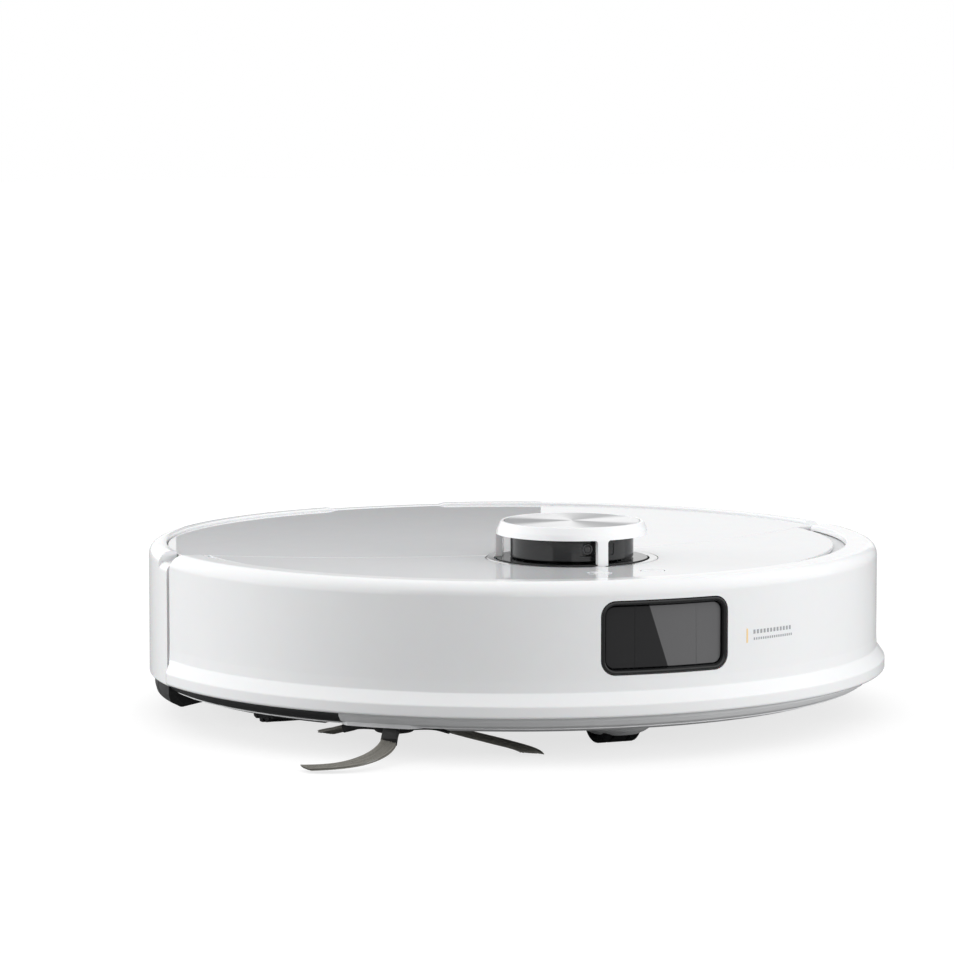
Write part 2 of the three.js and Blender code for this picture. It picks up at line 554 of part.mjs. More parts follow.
const binInside = [BIN.front + BIN.wall, BIN.rear - BIN.wall];
add("dust_bin",
  block([-BIN.half, BIN.half], [BIN.front, BIN.rear], [BIN.bottom, BIN.top])
    .subtract(block([-BIN.half + BIN.wall, BIN.half - BIN.wall], binInside, [BIN.bottom + BIN.wall, 90]))
    .subtract(block([-NECK.half + 2, NECK.half - 2], [0, 30], [NECK.bottom, NECK.top])),
  finish(0x6d7074, 0.3));
add("bin_filter",
  block([-66, 66], [BIN.rear - BIN.wall - 12.3, BIN.rear - BIN.wall - GAP], [BIN.bottom + 4, BIN.top - 2]), cloth());
add("bin_lid",
  block([-BIN.half, BIN.half], [BIN.front, BIN.rear], [BIN.top + GAP, 76.4])
    .subtract(block([-22, 22], [BIN.front + 12, BIN.front + 34], [74, 90])),
  paleGrey());

const FAN = { x: 110, y: 70, radius: 24.5, bottom: FLOOR_TOP + GAP, top: 64 };
const fanShell = disc(FAN.radius, FAN.bottom, FAN.top, 0, 0, 36)
  .subtract(disc(FAN.radius - 3, 42, 60, 0, 0, 36))
  .subtract(disc(13, 50, 90, 0, 0, 30))
  .subtract(block([0, 60], [-8, 8], [44, 56]));
add("fan_housing", fanShell.translate([FAN.x, FAN.y, 0]), black());
let impeller = disc(20, 44, 46, 0, 0, 36).add(disc(5, 44, 57, 0, 0, 18));
const BLADES = 9;
for (let i = 0; i < BLADES; i++) {
  const blade = block([4, 19], [-0.7, 0.7], [45.5, 57]);
  impeller = impeller.add(blade.rotate([0, 0, (i * 360) / BLADES]));
}
add("fan_impeller", impeller.translate([FAN.x, FAN.y, 0]), midGrey());

// ---- battery, board, water and mop -----------------------------------------------------------------------------------

add("battery_pack", block([-70, 70], [16, 84], [FLOOR_TOP + GAP, 32]), black());
let board = block([-55, 55], [-58, 0], [52, 53.6]);
for (const [x, y, size] of [[-20, -30, 16], [24, -22, 11], [-42, -14, 9], [6, -44, 8]]) {
  board = board.add(block([x - size / 2, x + size / 2], [y - size / 2, y + size / 2], [53, 55.4]));
}
add("main_board", board, finish(0x1f5a3a, 0.5));

let tank = disc(155, 21, 70).intersect(block([-100, 100], [96, 170], [0, 90]));
let bracket = disc(149.8, 6.5, 11.5).intersect(behind(MOP_FRONT));
for (const [, side] of SIDE_NAMES) {
  tank = tank.subtract(disc(LIFT_ROD.radius + 1, 0, LIFT_ROD.top + 2, side * LIFT_ROD.x, LIFT_ROD.y, 24));
  bracket = bracket.add(disc(LIFT_ROD.radius, 10, LIFT_ROD.top, side * LIFT_ROD.x, LIFT_ROD.y, 24));
}
add("water_tank", tank, finish(0xaab4ba, 0.2));
add("mop_bracket", bracket, black());
add("mop_pad", disc(147, 3.6, 6.2).intersect(behind(MOP_FRONT + 4)), cloth());
add("mop_motor", disc(19, FLOOR_TOP + GAP, 52, -112, 72, 32), steel());

export default robot;
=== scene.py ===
import math

import bmesh
import bpy
from mathutils import Matrix, Vector


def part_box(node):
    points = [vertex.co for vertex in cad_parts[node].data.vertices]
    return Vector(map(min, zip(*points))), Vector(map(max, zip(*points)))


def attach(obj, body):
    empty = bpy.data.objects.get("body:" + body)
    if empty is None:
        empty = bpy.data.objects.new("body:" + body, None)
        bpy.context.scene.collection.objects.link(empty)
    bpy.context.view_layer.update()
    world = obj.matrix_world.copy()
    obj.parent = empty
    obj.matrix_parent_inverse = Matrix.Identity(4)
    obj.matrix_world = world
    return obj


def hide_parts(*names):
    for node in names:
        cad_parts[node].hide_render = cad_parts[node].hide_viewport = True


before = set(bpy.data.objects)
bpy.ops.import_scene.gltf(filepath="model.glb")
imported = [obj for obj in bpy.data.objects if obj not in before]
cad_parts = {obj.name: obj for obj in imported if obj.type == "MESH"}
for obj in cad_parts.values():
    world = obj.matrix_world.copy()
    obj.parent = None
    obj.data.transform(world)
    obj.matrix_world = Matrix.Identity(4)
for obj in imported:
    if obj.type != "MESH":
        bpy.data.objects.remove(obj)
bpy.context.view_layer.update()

scene = bpy.context.scene
MM = 0.001

# ---- camera --------------------------------------------------------------------------------------
# A long lens two metres away, at about three times the robot's height, looks at its right front quarter.

CAMERA_DISTANCE = 2.0
CAMERA_HEIGHT = 0.310
CAMERA_AZIMUTH = math.radians(-23.2)
CAMERA_PITCH = math.radians(5.72)
CAMERA_YAW = math.radians(0.486)
CAMERA_LENS = 159.8  # millimetres, on film 36 mm wide

camera = bpy.data.objects.new("camera", bpy.data.cameras.new("camera"))
scene.collection.objects.link(camera)
camera.data.sensor_width = 36
camera.data.lens = CAMERA_LENS
camera.data.clip_start = 0.1
camera.data.clip_end = 50
camera.location = (CAMERA_DISTANCE * math.sin(CAMERA_AZIMUTH), -CAMERA_DISTANCE * math.cos(CAMERA_AZIMUTH),
                   CAMERA_HEIGHT)
camera.rotation_euler = (math.pi / 2 - CAMERA_PITCH, 0, CAMERA_AZIMUTH + CAMERA_YAW)
scene.camera = camera
scene.view_settings.view_transform = "Standard"

# ---- studio --------------------------------------------------------------------------------------
# A white floor under an even white sky, with a large soft lamp low on each side. A card behind shows
# only in gloss, and gives the polished top the grey that a dark room gives it. A card beside the camera
# draws a soft grey down the front of the bumper, and a third stands behind the robot's left.


def linear(code, alpha=1.0):
    """An sRGB hex colour as linear red, green, blue and alpha."""
    parts = [int(code[i : i + 2], 16) / 255 for i in (1, 3, 5)]
    return (*[p / 12.92 if p <= 0.04045 else ((p + 0.055) / 1.055) ** 2.4 for p in parts], alpha)


def add_node(tree, kind, settings=None, **inputs):
    """A new node with its settings, and with each input linked to a socket or set to a value.

    An input's keyword is its name with _ for a space, or in_ and its number.
    """
    made = tree.nodes.new(kind)
    for name, value in (settings or {}).items():
        setattr(made, name, value)
    for name, value in inputs.items():
        socket = made.inputs[int(name[3:]) if name.startswith("in_") else name.replace("_", " ")]
        if isinstance(value, bpy.types.NodeSocket):
            tree.links.new(value, socket)
        else:
            socket.default_value = value
    return made


def new_material(name):
    """A material with only its Principled shader, and that shader's node tree."""
    made = bpy.data.materials.new(name)
    made.use_nodes = True
    return made, made.node_tree, made.node_tree.nodes["Principled BSDF"]


def own_place(tree):
    """Each point's place in its object's own frame."""
    return add_node(tree, "ShaderNodeTexCoord").outputs["Object"]


SKY_STRENGTH = 1.0
world = bpy.data.worlds.new("studio")
world.use_nodes = True
world.node_tree.nodes["Background"].inputs["Color"].default_value = linear("#ffffff")
world.node_tree.nodes["Background"].inputs["Strength"].default_value = SKY_STRENGTH
scene.world = world


LAMP_TARGET = Vector((0, 0, 0.05))


def soft_lamp(name, place, size, power):
    """A large soft lamp that faces the robot and makes no streak in its gloss."""
    lamp = bpy.data.objects.new(name, bpy.data.lights.new(name, "AREA"))
    scene.collection.objects.link(lamp)
    lamp.data.shape = "RECTANGLE"
    lamp.data.size, lamp.data.size_y = size
    lamp.data.energy = power
    lamp.location = place
    lamp.visible_glossy = False
    lamp.rotation_euler = (LAMP_TARGET - Vector(place)).to_track_quat("-Z", "Y").to_euler()


soft_lamp("left_lamp", (-2.15, 1.15, 0.5), (1.2, 0.8), 35)
soft_lamp("right_lamp", (1.7, -1.7, 0.5), (1.2, 0.8), 27)

FLOOR_GLOW = 0.74  # added to what the lens sees of the floor, and not to what lights the robot from below
floor_mesh = bpy.data.meshes.new("floor")
floor_mesh.from_pydata([(-8, -8, 0), (8, -8, 0), (8, 8, 0), (-8, 8, 0)], [], [(0, 1, 2, 3)])
floor = bpy.data.objects.new("floor", floor_mesh)
scene.collection.objects.link(floor)
floor_paint, floor_tree, floor_shader = new_material("white_studio_floor")
floor_shader.inputs["Roughness"].default_value = 0.85
floor_shader.inputs["Specular IOR Level"].default_value = 0.1
floor_mottle = add_node(floor_tree, "ShaderNodeTexNoise", Scale=9.0, Detail=3.0)
floor_colour = add_node(floor_tree, "ShaderNodeMix", {"data_type": "RGBA"}, in_0=floor_mottle.outputs["Fac"],
                        in_6=linear("#8f8f8f"), in_7=linear("#959595"))
floor_seen = add_node(floor_tree, "ShaderNodeLightPath")
floor_glow = add_node(floor_tree, "ShaderNodeMath", {"operation": "MULTIPLY"},
                      in_0=floor_seen.outputs["Is Camera Ray"], in_1=FLOOR_GLOW)
floor_tree.links.new(floor_colour.outputs[2], floor_shader.inputs["Base Color"])
floor_tree.links.new(floor_glow.outputs[0], floor_shader.inputs["Emission Strength"])
floor_shader.inputs["Emission Color"].default_value = linear("#ffffff")
floor_mesh.materials.append(floor_paint)


def grey_card(name, size, corner, turn, foot, head, in_diffuse):
    """An upright card hidden from the camera, from its lower right corner, with a tone at foot and head."""
    width, height = size
    mesh = bpy.data.meshes.new(name)
    mesh.from_pydata([(-width, 0, 0), (0, 0, 0), (0, 0, height), (-width, 0, height)], [], [(0, 1, 2, 3)])
    made = bpy.data.objects.new(name, mesh)
    scene.collection.objects.link(made)
    made.location = corner
    made.rotation_euler = (0, 0, turn)
    made.visible_camera = False
    made.visible_diffuse = in_diffuse
    made.visible_shadow = False
    paint, tree, shader = new_material(name)
    up = add_node(tree, "ShaderNodeSeparateXYZ", Vector=own_place(tree))
    fade = add_node(tree, "ShaderNodeMapRange", Value=up.outputs["Z"], in_1=height * 0.4, in_2=height * 0.8)
    tone = add_node(tree, "ShaderNodeMix", {"data_type": "RGBA"}, in_0=fade.outputs["Result"],
                    in_6=linear(foot), in_7=linear(head))
    tree.links.new(tone.outputs[2], shader.inputs["Base Color"])
    shader.inputs["Roughness"].default_value = 1.0
    mesh.materials.append(paint)
    return made


rear_card = grey_card("rear_card", (0.20, 0.20), (0.135, 0.276, 0), CAMERA_AZIMUTH, "#242426", "#f2f2f3",
                      False)
side_card = grey_card("side_card", (0.9, 1.0), (-0.62, -1.45, 0), math.radians(-43), "#6a6a6c", "#b4b4b6",
                      True)
far_card = grey_card("far_card", (1.4, 1.2), (1.2, 1.3, 0), math.radians(-245), "#a8a8aa", "#d4d4d6", True)

# ---- white casings -------------------------------------------------------------------------------
# The bumper is a half ring of injection-moulded white ABS with a polished mould finish. A foot flange
# runs along its lower edge and fades out at each end, and its top turns in as a lip. Springs hold it 3
# mm off the chassis.


def white_abs(name, tint, roughness, ripple_strength):
    """Polished white ABS: a clear gloss on a body that light enters a little, with a slow ripple."""
    material, tree, shader = new_material(name)
    place = own_place(tree)
    ripple = add_node(tree, "ShaderNodeTexNoise", Vector=place, Scale=1 / (45 * MM), Detail=1.0)
    grain = add_node(tree, "ShaderNodeTexNoise", Vector=place, Scale=1 / (1.1 * MM), Detail=2.0)
    dust = add_node(tree, "ShaderNodeTexNoise", Vector=place, Scale=1 / (14 * MM), Detail=5.0, Roughness=0.65)
    slight = add_node(tree, "ShaderNodeMapRange", Value=dust.outputs["Fac"], in_3=0.0, in_4=0.14)
    tone = add_node(tree, "ShaderNodeMix", {"data_type": "RGBA"}, in_0=slight.outputs["Result"],
                    in_6=linear(tint), in_7=linear("#ffffff"))
    wipe = add_node(tree, "ShaderNodeMapRange", Value=dust.outputs["Fac"], in_1=0.35, in_2=0.7,
                    in_3=roughness * 0.85, in_4=roughness * 1.25)
    long_wave = add_node(tree, "ShaderNodeBump", Strength=ripple_strength, Distance=1.5 * MM,
                         Height=ripple.outputs["Fac"])
    skin = add_node(tree, "ShaderNodeBump", Strength=ripple_strength / 2, Distance=0.02 * MM,
                    Height=grain.outputs["Fac"], Normal=long_wave.outputs["Normal"])
    tree.links.new(tone.outputs[2], shader.inputs["Base Color"])
    tree.links.new(wipe.outputs["Result"], shader.inputs["Roughness"])
    tree.links.new(skin.outputs["Normal"], shader.inputs["Normal"])
    shader.inputs["IOR"].default_value = 1.53
    shader.inputs["Subsurface Weight"].default_value = 0.08
    shader.inputs["Subsurface Scale"].default_value = 2 * MM
    return material


def new_piece(name, mesh, material, body):
    """A finished mesh as a piece of the robot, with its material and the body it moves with."""
    made = bpy.data.objects.new(name, mesh)
    scene.collection.objects.link(made)
    mesh.materials.clear()
    mesh.materials.append(material)
    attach(made, body)
    return made


def smooth(mesh, sharp_angle=35):
    """Smooth shading, with an edge kept sharp where its faces meet at more than this angle."""
    mesh.polygons.foreach_set("use_smooth", [True] * len(mesh.polygons))
    mesh.set_sharp_from_angle(angle=math.radians(sharp_angle))
    return mesh


def swept(name, columns, closed=False):
    """A skin through a row of loops with the same number of points, capped at its ends unless it closes."""
    form = bmesh.new()
    rows = [[form.verts.new(point) for point in column] for column in columns]
    count = len(rows[0])
    pairs = list(zip(rows, rows[1:]))
    if closed:
        pairs.append((rows[-1], rows[0]))
    for here, there in pairs:
        for i in range(count):
            j = (i + 1) % count
            form.faces.new((here[i], here[j], there[j], there[i]))
    if not closed:
        form.faces.new(rows[0])
        form.faces.new(rows[-1][::-1])
    bmesh.ops.recalc_face_normals(form, faces=form.faces)
    mesh = bpy.data.meshes.new(name)
    form.to_mesh(mesh)
    form.free()
    return mesh


def at_angle(radius, angle, height, centre=(0, 0)):
    """A point at an angle from straight ahead, turning to the robot's left."""
    return (centre[0] + radius * math.sin(angle), centre[1] - radius * math.cos(angle), height)


def fillet(corner, before, after, radius, steps=5):
    """The points of a round corner, with one more on each straight, which keeps the flats flat in shading."""
    corner, before, after = Vector(corner), Vector(before), Vector(after)
    into, out = (corner - before).normalized(), (after - corner).normalized()
    turn = into.angle(out)
    reach = radius * math.tan(turn / 2)
    start = corner - into * reach
    side = Vector((-into.y, into.x)) * (1 if into.x * out.y - into.y * out.x > 0 else -1)
    centre = start + side * radius
    points = [start - into * radius * 0.1]
    for i in range(steps + 1):
        share = turn * i / steps
        points.append(centre - side * radius * math.cos(share) + into * radius * math.sin(share))
    return points + [points[-1] + out * radius * 0.1]


def rounded(corners, steps=5):
    """A closed outline of (u, v, radius) corners, each with its own fillet."""
    points = []
    for i, (u, v, radius) in enumerate(corners):
        before, after = corners[i - 1][:2], corners[(i + 1) % len(corners)][:2]
        points += fillet((u, v), before, after, radius, steps) if radius else [Vector((u, v))]
    return points


def apply_modifiers(piece_object):
    """The object's mesh with its modifiers worked in, as a plain mesh."""
    graph = bpy.context.evaluated_depsgraph_get()
    graph.update()
    mesh = bpy.data.meshes.new_from_object(piece_object.evaluated_get(graph))
    old = piece_object.data
    piece_object.modifiers.clear()
    piece_object.data = mesh
    bpy.data.meshes.remove(old)
    return mesh


def cut_away(mesh, *cutters):
    """The mesh with each closed cutter mesh taken out of it."""
    body = bpy.data.objects.new("cut_body", mesh)
    scene.collection.objects.link(body)
    tools = []
    for cutter in cutters:
        tool = bpy.data.objects.new("cut_tool", cutter)
        scene.collection.objects.link(tool)
        tools.append(tool)
        step = body.modifiers.new("cut", "BOOLEAN")
        step.operation = "DIFFERENCE"
        step.solver = "EXACT"
        step.object = tool
    result = apply_modifiers(body)
    for used in [body, *tools]:
        bpy.data.objects.remove(used)
    return result


bumper_low, bumper_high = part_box("bumper_shell")
window_low, window_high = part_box("window_bezel")
shell_low, shell_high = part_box("rear_shell")
cover_low, cover_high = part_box("top_cover")

FLANGE = -bumper_low.y  # radius of the foot flange
SKIN_RADIUS = FLANGE - 4 * MM  # radius of the bumper's and the rear shell's skin
SKIN_WALL = 3 * MM
LIP_WIDTH = 14.5 * MM
WINDOW_GAP = 0.3 * MM
gloss_white = white_abs("polished_white_abs", "#e9eaeb", 0.13, 0.04)

foot = bumper_low.z
lip = bumper_high.z


FLANGE_FADE = 9 * MM
END_CORNER = 4 * MM
END_DROP = 2.2 * MM


def bumper_column(angle, end_distance):
    """The bumper's section at an angle. Its flange fades out and its top corner drops near each end."""
    grown = min(1.0, end_distance / FLANGE_FADE)
    flange = (FLANGE - SKIN_RADIUS) * math.sqrt(1 - (1 - grown) ** 2)
    corner = min(1.0, end_distance / END_CORNER)
    drop = END_DROP * (1 - math.sqrt(max(0.0, 1 - (1 - corner) ** 2)))
    outline = rounded([
        (SKIN_RADIUS - SKIN_WALL, foot, 0.4 * MM),
        (SKIN_RADIUS + flange, foot, 1.3 * MM),
        (SKIN_RADIUS + flange, foot + 5.6 * MM, 1.6 * MM),
        (SKIN_RADIUS + flange * 0.3, foot + 9.6 * MM, 1.2 * MM),
        (SKIN_RADIUS + 0.2 * MM, foot + 11 * MM, 1.2 * MM),
        (SKIN_RADIUS, foot + 16 * MM, 6 * MM),
        (SKIN_RADIUS, lip - drop, 5.8 * MM),
        (SKIN_RADIUS - LIP_WIDTH, lip - drop, 0.7 * MM),
        (SKIN_RADIUS - LIP_WIDTH, lip - SKIN_WALL, 0.3 * MM),
        (SKIN_RADIUS - 8 * MM, lip - SKIN_WALL, 3 * MM),
        (SKIN_RADIUS - SKIN_WALL, lip - 8 * MM, 3 * MM),
    ])
    return [at_angle(point.x, angle, point.y) for point in outline]


def bumper_angles(end_y):
    """Angles from one end of the bumper to the other, closer together near the ends."""
    last = math.pi / 2 - abs(end_y) / SKIN_RADIUS
    near = [0, 0.25, 0.6, 1.0, 1.5, 2.2, 3.0, 4.0, 5.2, 6.6, 8.0, 9.5]
    half = [last - reach * MM / SKIN_RADIUS for reach in near]
    middle_steps = 110
    first = half[-1]
    middle = [first - 2 * first * (i + 1) / middle_steps for i in range(middle_steps - 1)]
    return half + middle + [-angle for angle in half[::-1]], last


angles, last_angle = bumper_angles(bumper_high.y)
columns = [bumper_column(a, (last_angle - abs(a)) * SKIN_RADIUS + 0.35 * MM) for a in angles]
bumper_mesh = swept("bumper_shell_skin", columns)


def rounded_box_outline(low_u, low_v, high_u, high_v, radius, steps=8):
    """A rectangle between two opposite corners, with round corners."""
    corners = [(low_u, low_v, radius), (high_u, low_v, radius), (high_u, high_v, radius),
               (low_u, high_v, radius)]
    return rounded(corners, steps)


def window_prism(name, spare, radius, near, far):
    """A rounded rectangle of the window's size, grown by spare, pushed from one distance ahead to another."""
    outline = rounded_box_outline(window_low.x - spare, window_low.z - spare, window_high.x + spare,
                                  window_high.z + spare, radius + spare)
    return swept(name, [[(p.x, -near, p.y) for p in outline], [(p.x, -far, p.y) for p in outline]])


WINDOW_CORNER = 6.5 * MM
bumper_mesh = cut_away(bumper_mesh, window_prism("window_cutter", WINDOW_GAP, WINDOW_CORNER, 150 * MM,
                                                 190 * MM))
bumper = new_piece("bumper_skin", smooth(bumper_mesh, 32), gloss_white, "bumper")
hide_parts("bumper_shell")

# ---- rear shell ----------------------------------------------------------------------------------
# The rear half ring is the same white ABS, clipped and screwed to the chassis. Its rim stands 2 mm over
# the cover, with a gap at the rear for a finger and a square step down where the bumper begins.

RIM_GAP_HALF = 29 * MM
RIM_RAMP = 5 * MM
RIM_START = 15 * MM
LEDGE = 75.6 * MM
rim_top = shell_high.z - 0.3 * MM
notch_top = cover_high.z + 0.9 * MM
RIM_DISH = 0.6 * MM  # the rim's top slopes down to its inner edge
cover_edge = cover_high.x
shell_foot = shell_low.z


def ramp(value):
    """0 to 1 with a soft start and a soft end."""
    held = max(0.0, min(1.0, value))
    return held * held * (3 - 2 * held)


def shell_column(angle, raised):
    """The rear shell's section at an angle. raised is 0 on the low ledge and 1 behind it."""
    x = SKIN_RADIUS * math.sin(angle)
    in_gap = 1 - ramp((abs(x) - RIM_GAP_HALF) / RIM_RAMP) if raised else 0
    top = rim_top - (rim_top - notch_top) * in_gap if raised else LEDGE
    inner_top = top - RIM_DISH if raised else top
    outline = rounded([
        (SKIN_RADIUS - SKIN_WALL, shell_foot, 0.3 * MM),
        (SKIN_RADIUS, shell_foot, 1.0 * MM),
        (SKIN_RADIUS, top, 5.6 * MM if raised else 3.5 * MM),
        (cover_edge + 0.5 * MM, inner_top, 0.5 * MM),
        (cover_edge + 0.5 * MM, LEDGE - 2.2 * MM, 0.2 * MM),
        (SKIN_RADIUS - SKIN_WALL, LEDGE - 4 * MM, 0.2 * MM),
    ], 6)
    return [at_angle(point.x, angle, point.y) for point in outline]


def shell_angles():
    """Pairs of an angle from straight ahead and whether the rim is raised there, round the robot's back."""
    start = math.pi / 2 + shell_low.y / SKIN_RADIUS
    step_at = math.pi / 2 + RIM_START / SKIN_RADIUS
    pairs = [(start + (step_at - start) * i / 4, 0) for i in range(5)]
    sweep = math.pi - step_at
    pairs += [(step_at + 0.0001 + sweep * i / 90, 1) for i in range(90)]
    gap_edge = math.pi - (RIM_GAP_HALF + RIM_RAMP + 1 * MM) / SKIN_RADIUS
    fine = [gap_edge + (RIM_RAMP + 2 * MM) / SKIN_RADIUS * i / 12 for i in range(13)]
    pairs = sorted(set(pairs + [(a, 1) for a in fine]))
    return pairs + [(math.pi, 1)] + [(2 * math.pi - a, r) for a, r in pairs[::-1]]


shell_mesh = swept("rear_shell_skin", [shell_column(a, r) for a, r in shell_angles()])
contact_boxes = [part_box("charge_contact_left"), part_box("charge_contact_right")]
CONTACT_ANGLE = math.radians(10.7)
CONTACT_HALF = 7.5 * MM


def contact_block(name, side, spare, near, far, radius):
    """A rounded block where a charge contact stands, turned to face out from the middle."""
    low, high = contact_boxes[0]
    outline = rounded_box_outline(-CONTACT_HALF - spare, low.z - spare, CONTACT_HALF + spare,
                                  high.z + spare, radius, 5)
    turn = Matrix.Rotation(-side * CONTACT_ANGLE, 3, "Z")
    return swept(name, [[turn @ Vector((p.x, y, p.y)) for p in outline] for y in (near, far)])


GRILLE_HALF = 1.5 * MM  # half the width of a slot
GRILLE_LOW, GRILLE_HIGH = 34 * MM, 58 * MM
GRILLE_COUNT = 9
GRILLE_START = math.radians(34)
GRILLE_STEP = math.radians(2.6)


def grille_slot():
    """One upright slot with round ends for the fan's air, which a node tree repeats round the shell."""
    slot = rounded_box_outline(-GRILLE_HALF, GRILLE_LOW, GRILLE_HALF, GRILLE_HIGH, 1.3 * MM, 5)
    return swept("grille_slot", [[(x, p.x, p.y) for p in slot] for x in (160 * MM, 180 * MM)])


def new_tree(name, inputs):
    """A geometry node tree that takes and gives a mesh, with other named inputs, and its input sockets."""
    tree = bpy.data.node_groups.new(name, "GeometryNodeTree")
    for label, kind in {"Geometry": "Geometry", **inputs, "Material": "Material"}.items():
        tree.interface.new_socket(name=label, in_out="INPUT", socket_type="NodeSocket" + kind)
    tree.interface.new_socket(name="Geometry", in_out="OUTPUT", socket_type="NodeSocketGeometry")
    return tree, add_node(tree, "NodeGroupInput").outputs


def end_with(tree, copies, given):
    """The tree, ended so that its copies become a real mesh with the given material."""
    real = add_node(tree, "GeometryNodeRealizeInstances", Geometry=copies.outputs[0])
    painted = add_node(tree, "GeometryNodeSetMaterial", Geometry=real.outputs[0], Material=given["Material"])
    tree.links.new(painted.outputs[0], add_node(tree, "NodeGroupOutput").inputs[0])
    return tree


def copies_round_an_axis():
    """A node tree that copies its mesh round an axis through the origin, with a step between the copies."""
    tree, given = new_tree("copies_round_an_axis", {"Count": "Int", "First Angle": "Float", "Step": "Float",
                                                    "Axis": "Vector"})
    points = add_node(tree, "GeometryNodePoints", Count=given["Count"])
    index = add_node(tree, "GeometryNodeInputIndex")
    turn = add_node(tree, "ShaderNodeMath", {"operation": "MULTIPLY_ADD"}, in_0=index.outputs[0],
                    in_1=given["Step"], in_2=given["First Angle"])
    around = add_node(tree, "ShaderNodeVectorMath", {"operation": "SCALE"}, in_0=given["Axis"],
                      Scale=turn.outputs[0])
    copies = add_node(tree, "GeometryNodeInstanceOnPoints", Points=points.outputs[0],
                      Instance=given["Geometry"], Rotation=around.outputs[0])
    return end_with(tree, copies, given)


def grown_by(tree, mesh, **values):
    """The mesh that a node tree makes from a mesh and the values of the tree's named inputs."""
    holder = bpy.data.objects.new("grown", mesh)
    scene.collection.objects.link(holder)
    step = holder.modifiers.new("grow", "NODES")
    step.node_group = tree
    sockets = {item.name.replace(" ", "_").lower(): item.identifier
               for item in tree.interface.items_tree if item.in_out == "INPUT"}
    for name, value in values.items():
        step[sockets[name]] = value
    result = apply_modifiers(holder)
    bpy.data.objects.remove(holder)
    return result


ring_tree = copies_round_an_axis()
slots = grown_by(ring_tree, grille_slot(), count=GRILLE_COUNT, first_angle=GRILLE_START, step=GRILLE_STEP,
                 axis=(0.0, 0.0, 1.0))
shell_mesh = cut_away(
    shell_mesh, slots,
    *[contact_block("contact_cutter", side, 0.3 * MM, 160 * MM, 190 * MM, 1.3 * MM) for side in (1, -1)])
rear_shell = new_piece("rear_skin", smooth(shell_mesh, 32), gloss_white, "chassis")
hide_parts("rear_shell")

# ---- top plates ----------------------------------------------------------------------------------
# The fixed front panel and the lift-off cover behind it are flat plates of the same white ABS, polished
# like glass, with a small round on every edge. They meet in a long arc, and magnets hold the cover down.

polished_top = white_abs("mirror_polished_white_abs", "#dcdddf", 0.03, 0.002)


def arc_points(centre, radius, start, end, count):
    """Points along an arc, with angles from +X in radians."""
    return [(centre[0] + radius * math.cos(start + (end - start) * i / count),
             centre[1] + radius * math.sin(start + (end - start) * i / count)) for i in range(count + 1)]


def flat_plate(name, loops, bottom, top, edge):
    """A flat plate with rounded edges between two heights, from an outside outline and any holes."""
    curve = bpy.data.curves.new(name, "CURVE")
    curve.dimensions = "2D"
    curve.fill_mode = "BOTH"
    curve.extrude = (top - bottom) / 2 - edge
    curve.bevel_depth = edge
    curve.bevel_resolution = 3
    curve.offset = -edge
    for loop in loops:
        line = curve.splines.new("POLY")
        line.points.add(len(loop) - 1)
        for point, (x, y) in zip(line.points, loop):
            point.co = (x, y, 0, 1)
        line.use_cyclic_u = True
    holder = bpy.data.objects.new(name, curve)
    scene.collection.objects.link(holder)
    graph = bpy.context.evaluated_depsgraph_get()
    mesh = bpy.data.meshes.new_from_object(holder.evaluated_get(graph))
    bpy.data.objects.remove(holder)
    mesh.transform(Matrix.Translation((0, 0, (bottom + top) / 2)))
    form = bmesh.new()
    form.from_mesh(mesh)
    bmesh.ops.remove_doubles(form, verts=form.verts, dist=0.001 * MM)
    bmesh.ops.recalc_face_normals(form, faces=form.faces)
    form.to_mesh(mesh)
    form.free()
    return smooth(mesh, 8)


trim_low, trim_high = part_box("turret_trim")
TURRET = ((trim_low.x + trim_high.x) / 2, (trim_low.y + trim_high.y) / 2)
trim_radius = (trim_high.x - trim_low.x) / 2
panel_low, panel_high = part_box("front_panel")
panel_edge = -panel_low.y
SEAM_CENTRE = 200 * MM
SEAM_RADIUS = 250 * MM
SEAM_GAP = 0.2 * MM
TURRET_CLEARANCE = 0.3 * MM
STEP = 2.2 * MM  # the cover widens behind this line
PLATE_EDGE = 0.25 * MM


def crossing(radius, other_y, other_radius):
    """Where a circle about the origin meets a circle about a point behind it: x > 0 and y."""
    y = (radius**2 - other_radius**2 + other_y**2) / (2 * other_y)
    return math.sqrt(radius**2 - y**2), y


def seam_run(seam_radius, turret_radius, side_x):
    """The seam from the right side to the turret's hole, its mirror image, and the angle where they meet it."""
    gap = SEAM_CENTRE - TURRET[1]
    down = (gap**2 - turret_radius**2 + seam_radius**2) / (2 * gap)
    meet_x = math.sqrt(seam_radius**2 - down**2)
    outer = math.asin(side_x / seam_radius)
    inner = math.asin(meet_x / seam_radius)
    right = arc_points((0, SEAM_CENTRE), seam_radius, -math.pi / 2 - outer, -math.pi / 2 - inner, 40)
    left = [(-x, y) for x, y in right[::-1]]
    return right, left, math.atan2(SEAM_CENTRE - down - TURRET[1], meet_x)


